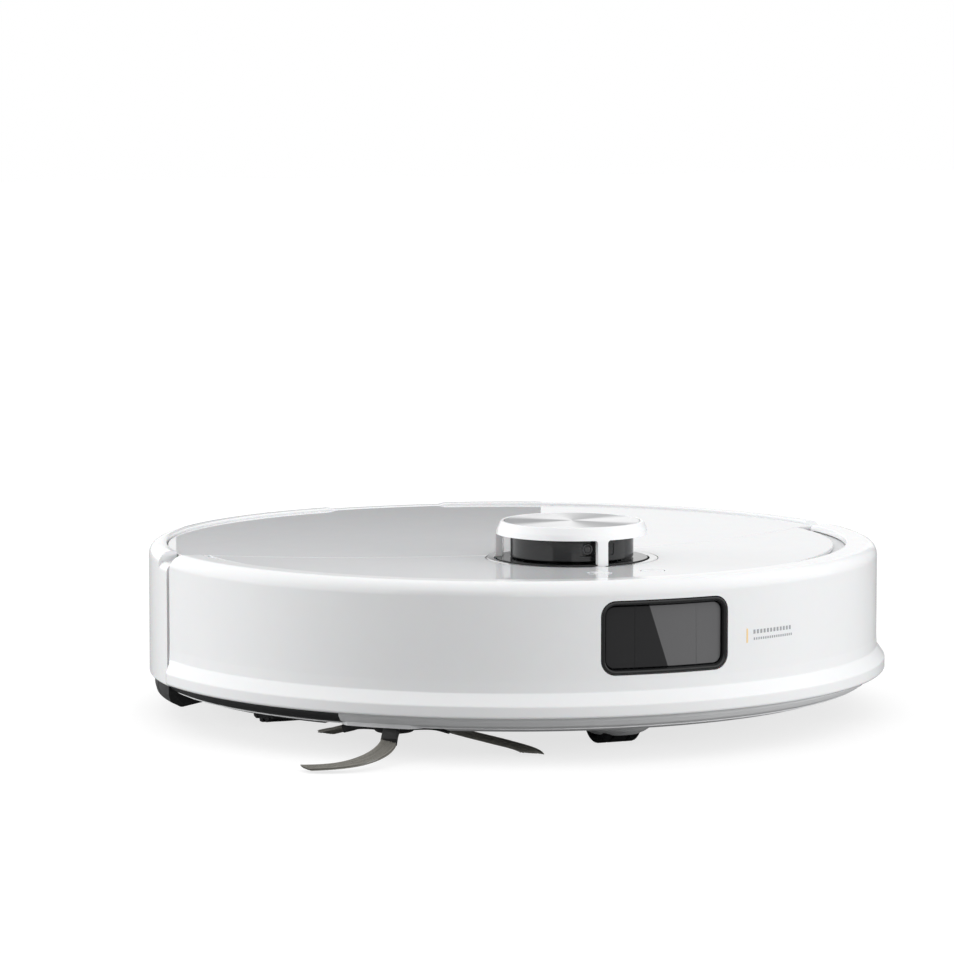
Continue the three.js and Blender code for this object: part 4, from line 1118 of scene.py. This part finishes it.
under_start = math.pi / 2 + math.asin(under_low.y / UNDER_RADIUS)
under_end = 2 * math.pi - under_start
under_angles = [under_start + (under_end - under_start) * i / 120 for i in range(121)]
seam_angle = math.pi / 2 + math.asin(UNDER_SEAM / UNDER_RADIUS)
for offset in (-0.0045, -0.0025, -0.0015, 0.0015, 0.0025, 0.0045):
    under_angles += [seam_angle + offset, 2 * math.pi - seam_angle + offset]
under_mesh = swept("underbody_skirt", [under_column(a) for a in sorted(under_angles)])
skirt = new_piece("underbody_skirt", smooth(under_mesh, 30), black_plastic, "chassis")
tab_sweep = math.asin(TAB_HALF / FLANGE)
tab_outline = rounded([
    (UNDER_RADIUS - 5 * MM, under_low.z + 2.6 * MM, 0.3 * MM),
    (FLANGE - 0.1 * MM, under_low.z + 2.6 * MM, 1.6 * MM),
    (FLANGE - 0.1 * MM, under_low.z + 7 * MM, 1.2 * MM),
    (UNDER_RADIUS - 5 * MM, under_low.z + 7 * MM, 0.3 * MM)], 4)
tab_mesh = swept("docking_tab", [
    [at_angle(p.x, math.pi - tab_sweep + 2 * tab_sweep * i / 30, p.y) for p in tab_outline]
    for i in range(31)])
tab = new_piece("docking_tab", smooth(tab_mesh), black_plastic, "chassis")
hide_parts("rear_underbody")
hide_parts("rear_underbody")

# ---- side brush ----------------------------------------------------------------------------------
# Three soft rubber roots leave a rubber hub and bend down. Each grips a flat bundle of nylon bristles,
# which trails round behind it and ends on a slant near the floor. A steel screw holds the hub.

motor_low, motor_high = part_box("side_brush_motor")
BRUSH = ((motor_low.x + motor_high.x) / 2, (motor_low.y + motor_high.y) / 2)
HUB_RADIUS = 9.5 * MM
HUB_BOTTOM = 10 * MM
HUB_TOP = 14.1 * MM
SHAFT_RADIUS = 4 * MM
SHAFT_TOP = 17.5 * MM
ARM_ANGLES = [math.radians(a) for a in (-117, 3, 123)]
BUNDLE = 3.2 * MM  # half the width of a root, which a bundle nearly fills
BRISTLES = 110
SLANT = 7 * MM

hub = new_piece("brush_hub", turned("brush_hub", lathe_outline([
    (0, HUB_BOTTOM, 0), (3.4 * MM, HUB_BOTTOM, 0.3 * MM), (3.7 * MM, HUB_BOTTOM - 0.4 * MM, 0.3 * MM),
    (HUB_RADIUS - 1 * MM, HUB_BOTTOM + 0.1 * MM, 1.5 * MM), (HUB_RADIUS, HUB_BOTTOM + 2 * MM, 1 * MM),
    (HUB_RADIUS, HUB_TOP, 0.5 * MM), (SHAFT_RADIUS, HUB_TOP, 0), (SHAFT_RADIUS, SHAFT_TOP, 0.4 * MM),
    (0, SHAFT_TOP, 0)]), BRUSH, 64), black_rubber, "side_brush")
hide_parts("side_brush_hub")
screw_mesh = turned("hub_screw", lathe_outline([
    (0, HUB_BOTTOM - 0.6 * MM, 0), (2.4 * MM, HUB_BOTTOM - 0.6 * MM, 0.5 * MM),
    (3.0 * MM, HUB_BOTTOM + 0.1 * MM, 0.2 * MM), (0, HUB_BOTTOM + 0.2 * MM, 0)]), BRUSH, 32)
screw_slots = [swept("screw_slot", [[(BRUSH[0] + x, BRUSH[1] + y, z * MM) for x, y in (
    (-long, -short), (long, -short), (long, short), (-long, short))] for z in (9, 9.8)])
    for long, short in ((1.5 * MM, 0.3 * MM), (0.3 * MM, 1.5 * MM))]
new_piece("hub_screw", cut_away(screw_mesh, *screw_slots), steel, "side_brush")


def eased(points, share):
    """The point on a smooth path through (reach, height) points, at a share of the way along."""
    spans = len(points) - 1
    k = min(int(share * spans), spans - 1)
    t = share * spans - k
    a, b, c, d = (Vector(points[max(0, min(spans, k + i))]) for i in (-1, 0, 1, 2))
    return 0.5 * ((2 * b) + (c - a) * t + (2 * a - 5 * b + 4 * c - d) * t**2 + (3 * b - 3 * c + d - a) * t**3)


def strap(name, path, half_width, half_height, steps, radius):
    """A strap with round edges, out along X on a path of (reach, height) points in millimetres."""
    columns = []
    for i in range(steps + 1):
        share = i / steps
        here = eased(path, share)
        slope = eased(path, min(1, share + 0.02)) - eased(path, max(0, share - 0.02))
        lift = Vector((-slope.y, slope.x)).normalized()
        wide, high = half_width(share), half_height(share)
        section = rounded_box_outline(-wide, -high, wide, high, min(radius, high * 0.8), 3)
        columns.append([((here.x + lift.x * p.y) * MM, p.x * MM, (here.y + lift.y * p.y) * MM)
                        for p in section])
    return swept(name, columns)


ROOT_PATH = [(5, 12.1), (12, 12.3), (19, 11.6), (26, 9.2)]
FILAMENT_PATH = [(23, 10.3), (32, 7.6), (43, 5), (56, 3), (74, 1.9)]
BEND_START = 23 * MM
BEND_RADIUS = 29 * MM


def trailing(mesh):
    """The mesh of a bundle with its free part bent round behind the root."""
    for vertex in mesh.vertices:
        x, y, z = vertex.co
        if x > BEND_START:
            turn = (x - BEND_START) / BEND_RADIUS
            vertex.co = (BEND_START + (BEND_RADIUS + y) * math.sin(turn),
                         (BEND_RADIUS + y) * math.cos(turn) - BEND_RADIUS, z)
    return mesh


for number, angle in enumerate(ARM_ANGLES, 1):
    root_mesh = strap("rubber_root", ROOT_PATH, lambda s: 3.2 + 0.4 * s,
                      lambda s: 1.9 + 0.3 * math.sin(math.pi * s), 18, 0.7)
    root_mesh.transform(Matrix.Translation((*BRUSH, 0)) @ Matrix.Rotation(angle, 4, "Z"))
    new_piece(f"rubber_root_{number}", smooth(root_mesh), black_rubber, "side_brush")

nylon, nylon_tree, nylon_shader = new_material("grey_nylon_bristle")
nylon_place = own_place(nylon_tree)
nylon_streak = add_node(nylon_tree, "ShaderNodeTexNoise", Vector=nylon_place, Scale=1 / (0.6 * MM),
                        Detail=2.0)
nylon_tone = add_node(nylon_tree, "ShaderNodeMix", {"data_type": "RGBA"}, in_0=nylon_streak.outputs["Fac"],
                      in_6=linear("#6b6a66"), in_7=linear("#9a978f"))
nylon_tree.links.new(nylon_tone.outputs[2], nylon_shader.inputs["Base Color"])
nylon_shader.inputs["Roughness"].default_value = 0.45


def bristle_bundle_tree():
    """A node tree that lays filaments side by side as a flat bundle, which spreads and ends on a slant."""
    tree, given = new_tree("bristle_bundle", {"Count": "Int", "Width": "Float", "Depth": "Float",
                                              "Spread": "Float", "Slant": "Float", "Seed": "Int"})
    index = add_node(tree, "GeometryNodeInputIndex")
    share = add_node(tree, "ShaderNodeMath", {"operation": "DIVIDE"}, in_0=index.outputs[0],
                     in_1=given["Count"])
    side = add_node(tree, "ShaderNodeMath", {"operation": "SUBTRACT"}, in_0=share.outputs[0], in_1=0.5)
    across = add_node(tree, "ShaderNodeMath", {"operation": "MULTIPLY"}, in_0=side.outputs[0],
                      in_1=given["Width"])
    lowest = add_node(tree, "ShaderNodeMath", {"operation": "MULTIPLY"}, in_0=given["Depth"], in_1=-1.0)
    lift = add_node(tree, "FunctionNodeRandomValue", {"data_type": "FLOAT"}, in_2=lowest.outputs[0],
                    in_3=given["Depth"], Seed=given["Seed"])
    slide = add_node(tree, "ShaderNodeMath", {"operation": "MULTIPLY_ADD"}, in_0=side.outputs[0],
                     in_1=given["Slant"], in_2=lift.outputs[1])
    place = add_node(tree, "ShaderNodeCombineXYZ", X=slide.outputs[0], Y=across.outputs[0], Z=lift.outputs[1])
    turn = add_node(tree, "ShaderNodeMath", {"operation": "MULTIPLY"}, in_0=side.outputs[0],
                    in_1=given["Spread"])
    angles = add_node(tree, "ShaderNodeCombineXYZ", Z=turn.outputs[0])
    points = add_node(tree, "GeometryNodePoints", Count=given["Count"], Position=place.outputs[0])
    copies = add_node(tree, "GeometryNodeInstanceOnPoints", Points=points.outputs[0],
                      Instance=given["Geometry"], Rotation=angles.outputs[0])
    return end_with(tree, copies, given)


bundle_tree = bristle_bundle_tree()
for number, angle in enumerate(ARM_ANGLES, 1):
    filament = strap("filament", FILAMENT_PATH, lambda s: 0.13, lambda s: 0.13, 24, 0.05)
    bundle_mesh = grown_by(bundle_tree, filament, count=BRISTLES, width=2 * BUNDLE * 0.82, depth=0.45 * MM,
                           spread=0.05, slant=-SLANT if number == 1 else SLANT, seed=number, material=nylon)
    bundle_mesh = trailing(bundle_mesh)
    bundle_mesh.transform(Matrix.Translation((*BRUSH, 0)) @ Matrix.Rotation(angle, 4, "Z"))
    bundle = new_piece(f"bristle_bundle_{number}", smooth(bundle_mesh), nylon, "side_brush")
    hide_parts(f"side_brush_bristle_{number}")

# ---- caster --------------------------------------------------------------------------------------
# The front caster turns in its grey cup. A black wheel with two grooves sits in a slot through a pale
# domed fork.

fork_low, fork_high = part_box("caster_fork")
caster_low, caster_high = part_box("caster_wheel")
CASTER = ((fork_low.x + fork_high.x) / 2, (fork_low.y + fork_high.y) / 2)
dome = (fork_high.x - fork_low.x) / 2
caster_axle = ((caster_low.y + caster_high.y) / 2, (caster_low.z + caster_high.z) / 2)
caster_radius = (caster_high.z - caster_low.z) / 2
caster_half = caster_high.x
fork_mesh = turned("caster_fork", lathe_outline([
    (0, fork_low.z, 0), (11.5 * MM, fork_low.z, 3 * MM), (15.5 * MM, fork_low.z + 2.4 * MM, 4 * MM),
    (dome, fork_low.z + 7 * MM, 5 * MM), (dome, fork_high.z - 3.1 * MM, 0.6 * MM),
    (3.1 * MM, fork_high.z - 3.1 * MM, 0),
    (3.1 * MM, fork_high.z, 0.4 * MM), (0, fork_high.z, 0)]), CASTER, 96)
slot_long, slot_wide = caster_radius + 0.8 * MM, caster_half + 0.7 * MM
slot_outline = rounded_box_outline(-slot_wide, caster_axle[0] - slot_long, slot_wide,
                                   caster_axle[0] + slot_long, 1.5 * MM, 4)
wheel_slot = swept("wheel_slot", [[(p.x, p.y, z * MM) for p in slot_outline] for z in (-5, 25.8)])
fork = new_piece("caster_dome", smooth(cut_away(fork_mesh, wheel_slot)), pale_plastic, "caster_swivel")
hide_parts("caster_fork")


def turned_across(name, profile, place, steps=64):
    """A solid of revolution about an axis along X, from (radius, distance along X) points."""
    mesh = turned(name, profile, (0, 0), steps)
    mesh.transform(Matrix.Translation(place) @ Matrix.Rotation(math.pi / 2, 4, "Y"))
    return mesh


groove = 4 * MM
wheel_profile = lathe_outline([
    (0, -caster_half, 0), (3.5 * MM, -caster_half, 0.3 * MM), (4 * MM, 1.2 * MM - caster_half, 0.3 * MM),
    (9 * MM, 1.2 * MM - caster_half, 0.3 * MM), (9.6 * MM, -caster_half, 0.3 * MM),
    (caster_radius, -caster_half, 1.5 * MM), (caster_radius, -groove - 0.6 * MM, 0.1 * MM),
    (caster_radius - 1 * MM, -groove, 0.3 * MM),
    (caster_radius, 0.6 * MM - groove, 0.1 * MM), (caster_radius, groove - 0.6 * MM, 0.1 * MM),
    (caster_radius - 1 * MM, groove, 0.3 * MM),
    (caster_radius, groove + 0.6 * MM, 0.1 * MM), (caster_radius, caster_half, 1.5 * MM),
    (9.6 * MM, caster_half, 0.3 * MM),
    (9 * MM, caster_half - 1.2 * MM, 0.3 * MM), (4 * MM, caster_half - 1.2 * MM, 0.3 * MM),
    (3.5 * MM, caster_half, 0.3 * MM),
    (0, caster_half, 0)], 3)
caster_wheel = new_piece(
    "caster_roller", turned_across("caster_roller", wheel_profile, (0, *caster_axle), 72), black_plastic,
    "caster_roll")
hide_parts("caster_wheel")

# ---- belly rim -----------------------------------------------------------------------------------
# The edge of the belly rises in a smooth curve behind the bumper's foot. It is moulded with the pale
# belly ahead, and is black ABS at the sides, where the underbody skirt meets it.

RECESS_RADIUS = 31 * MM  # the side brush's roots turn in a recess in the belly
RECESS_TOP = 14.5 * MM


def belly_rim(name, start, end, material):
    """A part of the rim between two angles from straight ahead."""
    section = rounded([(u * MM, v * MM, r * MM) for u, v, r in (
        (148.5, 12.1, 0.3), (160, 13.2, 8), (168.5, 16.5, 4), (170.4, 19, 1), (170.4, 20.6, 0.3),
        (168, 20.6, 0.3),
        (165, 18.1, 0.5), (148.5, 18.1, 0.3))], 4)
    mesh = swept(name, [
        [at_angle(p.x, start + (end - start) * i / 60, p.y) for p in section] for i in range(61)])
    recess = turned("brush_recess", lathe_outline([
        (0, 0, 0), (RECESS_RADIUS, 0, 0), (RECESS_RADIUS, RECESS_TOP, 0), (0, RECESS_TOP, 0)]), BRUSH, 64)
    new_piece(name, smooth(cut_away(mesh, recess), 30), material, "chassis")


RIM_TURN = math.radians(50)
RIM_END = math.radians(92)
belly_rim("belly_rim_front", -RIM_TURN, RIM_TURN, pale_plastic)
belly_rim("belly_rim_left", RIM_TURN, RIM_END, black_plastic)
belly_rim("belly_rim_right", -RIM_END, -RIM_TURN, black_plastic)

# ---- drive wheels --------------------------------------------------------------------------------
# A moulded rubber tyre with chevron lugs is pressed on each wheel's hub.


def joined(name, *meshes):
    """One mesh that holds all the meshes."""
    form = bmesh.new()
    for mesh in meshes:
        form.from_mesh(mesh)
    whole = bpy.data.meshes.new(name)
    form.to_mesh(whole)
    form.free()
    return whole


tyre_rubber = rubber("tyre_rubber", "#1b1c1d", "#2b2c2d", 0.7)
LUG_COUNT = 26
LUG_HEIGHT = 1.6 * MM
LUG_LEAN = 0.13
TYRE_BORE = 29 * MM
for side in ("left", "right"):
    tyre_low, tyre_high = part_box(f"tyre_{side}")
    tyre_radius = (tyre_high.z - tyre_low.z) / 2
    tyre_half = (tyre_high.x - tyre_low.x) / 2
    carcass = turned_ring("tyre", [
        (TYRE_BORE, 0.2 * MM - tyre_half, 0.5 * MM),
        (tyre_radius - LUG_HEIGHT, 0.2 * MM - tyre_half, 1.4 * MM),
        (tyre_radius - LUG_HEIGHT, tyre_half - 0.2 * MM, 1.4 * MM),
        (TYRE_BORE, tyre_half - 0.2 * MM, 0.5 * MM)], (0, 0), 96)
    carcass.transform(Matrix.Rotation(math.pi / 2, 4, "Y"))
    columns = []
    for i in range(13):
        x = (i / 6 - 1) * (tyre_half - 0.6 * MM)
        lean = LUG_LEAN * (1 - abs(i / 6 - 1))
        columns.append([(x, r * math.sin(lean + t / r), r * math.cos(lean + t / r)) for r, t in (
            (tyre_radius - LUG_HEIGHT - 0.4 * MM, -2.4 * MM), (tyre_radius - 0.4 * MM, -1.9 * MM),
            (tyre_radius - 0.1 * MM, -1.5 * MM), (tyre_radius - 0.1 * MM, 1.5 * MM),
            (tyre_radius - 0.4 * MM, 1.9 * MM),
            (tyre_radius - LUG_HEIGHT - 0.4 * MM, 2.4 * MM))])
    lugs = grown_by(ring_tree, swept("lug", columns), count=LUG_COUNT, first_angle=0.0,
                    step=2 * math.pi / LUG_COUNT, axis=(1.0, 0.0, 0.0), material=tyre_rubber)
    tyre_mesh = joined("tyre", carcass, lugs)
    tyre_mesh.transform(Matrix.Translation((tyre_low + tyre_high) / 2))
    tyre = new_piece(f"lugged_tyre_{side}", smooth(tyre_mesh, 30), tyre_rubber, f"{side}_wheel")
    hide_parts(f"tyre_{side}")

# ---- main roller ---------------------------------------------------------------------------------
# Eight soft fins and their sleeve are one rubber moulding. Each fin runs to the middle in a helix and
# back, so it herds dust inwards. A thin axle runs through the sleeve.

roller_low, roller_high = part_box("main_roller")
ROLLER = (0, (roller_low.y + roller_high.y) / 2, (roller_low.z + roller_high.z) / 2)
fin_radius = (roller_high.z - roller_low.z) / 2
SLEEVE_HALF = 79.5 * MM
SLEEVE_RADIUS = 13 * MM
AXLE_RADIUS = 3 * MM
FIN_COUNT = 8
FIN_TWIST = 1.15
sleeve = turned_across("roller_sleeve", lathe_outline([
    (0, roller_low.x, 0), (AXLE_RADIUS, roller_low.x, 0.4 * MM), (AXLE_RADIUS, -SLEEVE_HALF, 0.2 * MM),
    (SLEEVE_RADIUS, -SLEEVE_HALF, 1 * MM), (SLEEVE_RADIUS, SLEEVE_HALF, 1 * MM),
    (AXLE_RADIUS, SLEEVE_HALF, 0.2 * MM),
    (AXLE_RADIUS, roller_high.x, 0.4 * MM), (0, roller_high.x, 0)]), (0, 0, 0), 72)
columns = []
for i in range(81):
    x = (i / 40 - 1) * (SLEEVE_HALF - 1 * MM)
    twist = FIN_TWIST * abs(i / 40 - 1)
    columns.append([(x, r * math.sin(twist + t / r), r * math.cos(twist + t / r)) for r, t in (
        (SLEEVE_RADIUS - 0.4 * MM, -1.5 * MM), (SLEEVE_RADIUS + 1 * MM, -0.8 * MM),
        (fin_radius - 0.7 * MM, -0.6 * MM),
        (fin_radius - 0.3 * MM, 0), (fin_radius - 0.7 * MM, 0.6 * MM), (SLEEVE_RADIUS + 1 * MM, 0.8 * MM),
        (SLEEVE_RADIUS - 0.4 * MM, 1.5 * MM))])
fins = grown_by(ring_tree, swept("fin", columns), count=FIN_COUNT, first_angle=0.0,
                step=2 * math.pi / FIN_COUNT, axis=(1.0, 0.0, 0.0), material=black_rubber)
roller_mesh = joined("roller", sleeve, fins)
roller_mesh.transform(Matrix.Translation(ROLLER))
roller = new_piece("finned_roller", smooth(roller_mesh), black_rubber, "roller")
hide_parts("main_roller")

# ---- brush guard ---------------------------------------------------------------------------------
# A flat black ABS frame snaps over the roller's mouth, and keeps cords and cloth out of it.

guard_low, guard_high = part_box("brush_guard")
guard_middle = (guard_low + guard_high) / 2
guard_half = (guard_high - guard_low) / 2
GUARD_MOUTH = (82 * MM, 23.5 * MM)
guard_outline = [(guard_middle.x + p.x, guard_middle.y + p.y) for p in rounded_box_outline(
    -guard_half.x, -guard_half.y, guard_half.x, guard_half.y, 6 * MM)]
mouth_outline = [(p.x, ROLLER[1] + p.y) for p in rounded_box_outline(
    -GUARD_MOUTH[0], -GUARD_MOUTH[1], GUARD_MOUTH[0], GUARD_MOUTH[1], 3 * MM)]
guard = new_piece("roller_guard", flat_plate(
    "roller_guard", [guard_outline, mouth_outline], guard_low.z, guard_high.z, 0.6 * MM),
    black_plastic, "chassis")
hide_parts("brush_guard")

# ---- mop -----------------------------------------------------------------------------------------
# A stiff black plate hangs on two lift rods. A microfibre pad is held under it by hook and loop, with a
# short pile.

plate_low, plate_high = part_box("mop_bracket")
pad_low, pad_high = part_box("mop_pad")
PLATE_THICKNESS = 5 * MM
ROD_RADIUS = 4 * MM
LIFT_RODS = [(60 * MM, 105 * MM), (-60 * MM, 105 * MM)]


def half_moon(radius, front):
    """The outline of a disc round the origin, cut off along a straight line ahead."""
    start = math.asin(front / radius)
    return arc_points((0, 0), radius, start, math.pi - start, 120)


plate_mesh = flat_plate("mop_plate", [half_moon(plate_high.y, plate_low.y)], plate_low.z,
                        plate_low.z + PLATE_THICKNESS, 0.9 * MM)
rods = [turned("lift_rod", lathe_outline([
    (0, plate_low.z + 2 * MM, 0), (ROD_RADIUS, plate_low.z + 2 * MM, 0), (ROD_RADIUS, plate_high.z, 0.8 * MM),
    (0, plate_high.z, 0)]), rod, 32) for rod in LIFT_RODS]
mop_plate = new_piece("mop_plate", smooth(joined("mop_plate", plate_mesh, *rods), 20), black_plastic, "mop")
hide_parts("mop_bracket")

microfibre, microfibre_tree, microfibre_shader = new_material("microfibre_cloth")
fibre_place = own_place(microfibre_tree)
fibre_knots = add_node(microfibre_tree, "ShaderNodeTexVoronoi", Vector=fibre_place, Scale=1 / (1.2 * MM))
fibre_wear = add_node(microfibre_tree, "ShaderNodeTexNoise", Vector=fibre_place, Scale=1 / (14 * MM),
                      Detail=5.0)
fibre_tone = add_node(microfibre_tree, "ShaderNodeMix", {"data_type": "RGBA"}, in_0=fibre_wear.outputs["Fac"],
                      in_6=linear("#5b5f66"), in_7=linear("#777c84"))
fibre_bump = add_node(microfibre_tree, "ShaderNodeBump", Strength=0.8, Distance=0.5 * MM,
                      Height=fibre_knots.outputs["Distance"])
microfibre_tree.links.new(fibre_tone.outputs[2], microfibre_shader.inputs["Base Color"])
microfibre_tree.links.new(fibre_bump.outputs["Normal"], microfibre_shader.inputs["Normal"])
microfibre_shader.inputs["Roughness"].default_value = 0.9
microfibre_shader.inputs["Sheen Weight"].default_value = 0.6

PILE = 0.9 * MM
TUFT_RADIUS = 1.0 * MM
TUFTS_PER_SQUARE_METRE = 220000.0
pad_bottom = pad_low.z + PILE
pad_mesh = flat_plate("mop_pad", [half_moon(pad_high.y, pad_low.y)], pad_bottom, pad_high.z, 0.7 * MM)


def pile_tree():
    """A node tree that stands copies of a tuft all over a mesh, facing out from it, at random sizes."""
    tree, given = new_tree("pile", {"Density": "Float", "Radius": "Float", "Length": "Float", "Seed": "Int"})
    spots = add_node(tree, "GeometryNodeDistributePointsOnFaces", Mesh=given["Geometry"],
                     Density=given["Density"], Seed=given["Seed"])
    tuft = add_node(tree, "GeometryNodeMeshCone", Vertices=5, Depth=given["Length"])
    tree.links.new(given["Radius"], tuft.inputs["Radius Bottom"])
    size = add_node(tree, "FunctionNodeRandomValue", {"data_type": "FLOAT"}, in_2=0.6, in_3=1.0,
                    Seed=given["Seed"])
    copies = add_node(tree, "GeometryNodeInstanceOnPoints", Points=spots.outputs["Points"],
                      Instance=tuft.outputs["Mesh"],
                      Rotation=spots.outputs["Rotation"], Scale=size.outputs[1])
    return end_with(tree, copies, given)


pile_ground = swept("pile_ground", [[(x, y, z) for x, y in half_moon(pad_high.y - 2 * MM, pad_low.y + 2 * MM)]
                                    for z in (pad_bottom + 0.1 * MM, pad_bottom + 0.6 * MM)])
pile_mesh = grown_by(pile_tree(), pile_ground, density=TUFTS_PER_SQUARE_METRE, radius=TUFT_RADIUS,
                     length=PILE, seed=5, material=microfibre)
pad = new_piece("mop_cloth", pad_mesh, microfibre, "mop")
pile = new_piece("cloth_pile", smooth(pile_mesh), microfibre, "mop")
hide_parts("mop_pad")
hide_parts("mop_pad")

# ---- bin lid and filter --------------------------------------------------------------------------
# A plain grey ABS lid closes the bin. Behind the dust space stands a filter of pleated paper.

lid_low, lid_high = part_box("bin_lid")
lid_outline = [(p.x, p.y) for p in rounded_box_outline(lid_low.x, lid_low.y, lid_high.x, lid_high.y, 5 * MM)]
lid = new_piece("bin_lid_plate", flat_plate("bin_lid_plate", [lid_outline], lid_low.z, lid_high.z, 0.6 * MM),
                grey_plastic, "bin")
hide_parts("bin_lid")

filter_low, filter_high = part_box("bin_filter")
paper = moulded("pleated_paper", "#d8d3c4", "#e6e2d6", 0.8, 0.8 * MM)
PLEATS = 40
pleat_step = (filter_high.x - filter_low.x) / PLEATS
pleat_points = [(filter_low.x + pleat_step * i / 2, filter_high.y if i % 2 else filter_low.y + 1 * MM)
                for i in range(2 * PLEATS + 1)]
pleat_outline = pleat_points + [(filter_high.x, filter_low.y), (filter_low.x, filter_low.y)]
pleats = new_piece("filter_pleats", smooth(swept("filter_pleats", [
    [(x, y, z) for x, y in pleat_outline] for z in (filter_low.z, filter_high.z)])), paper, "bin")
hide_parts("bin_filter")
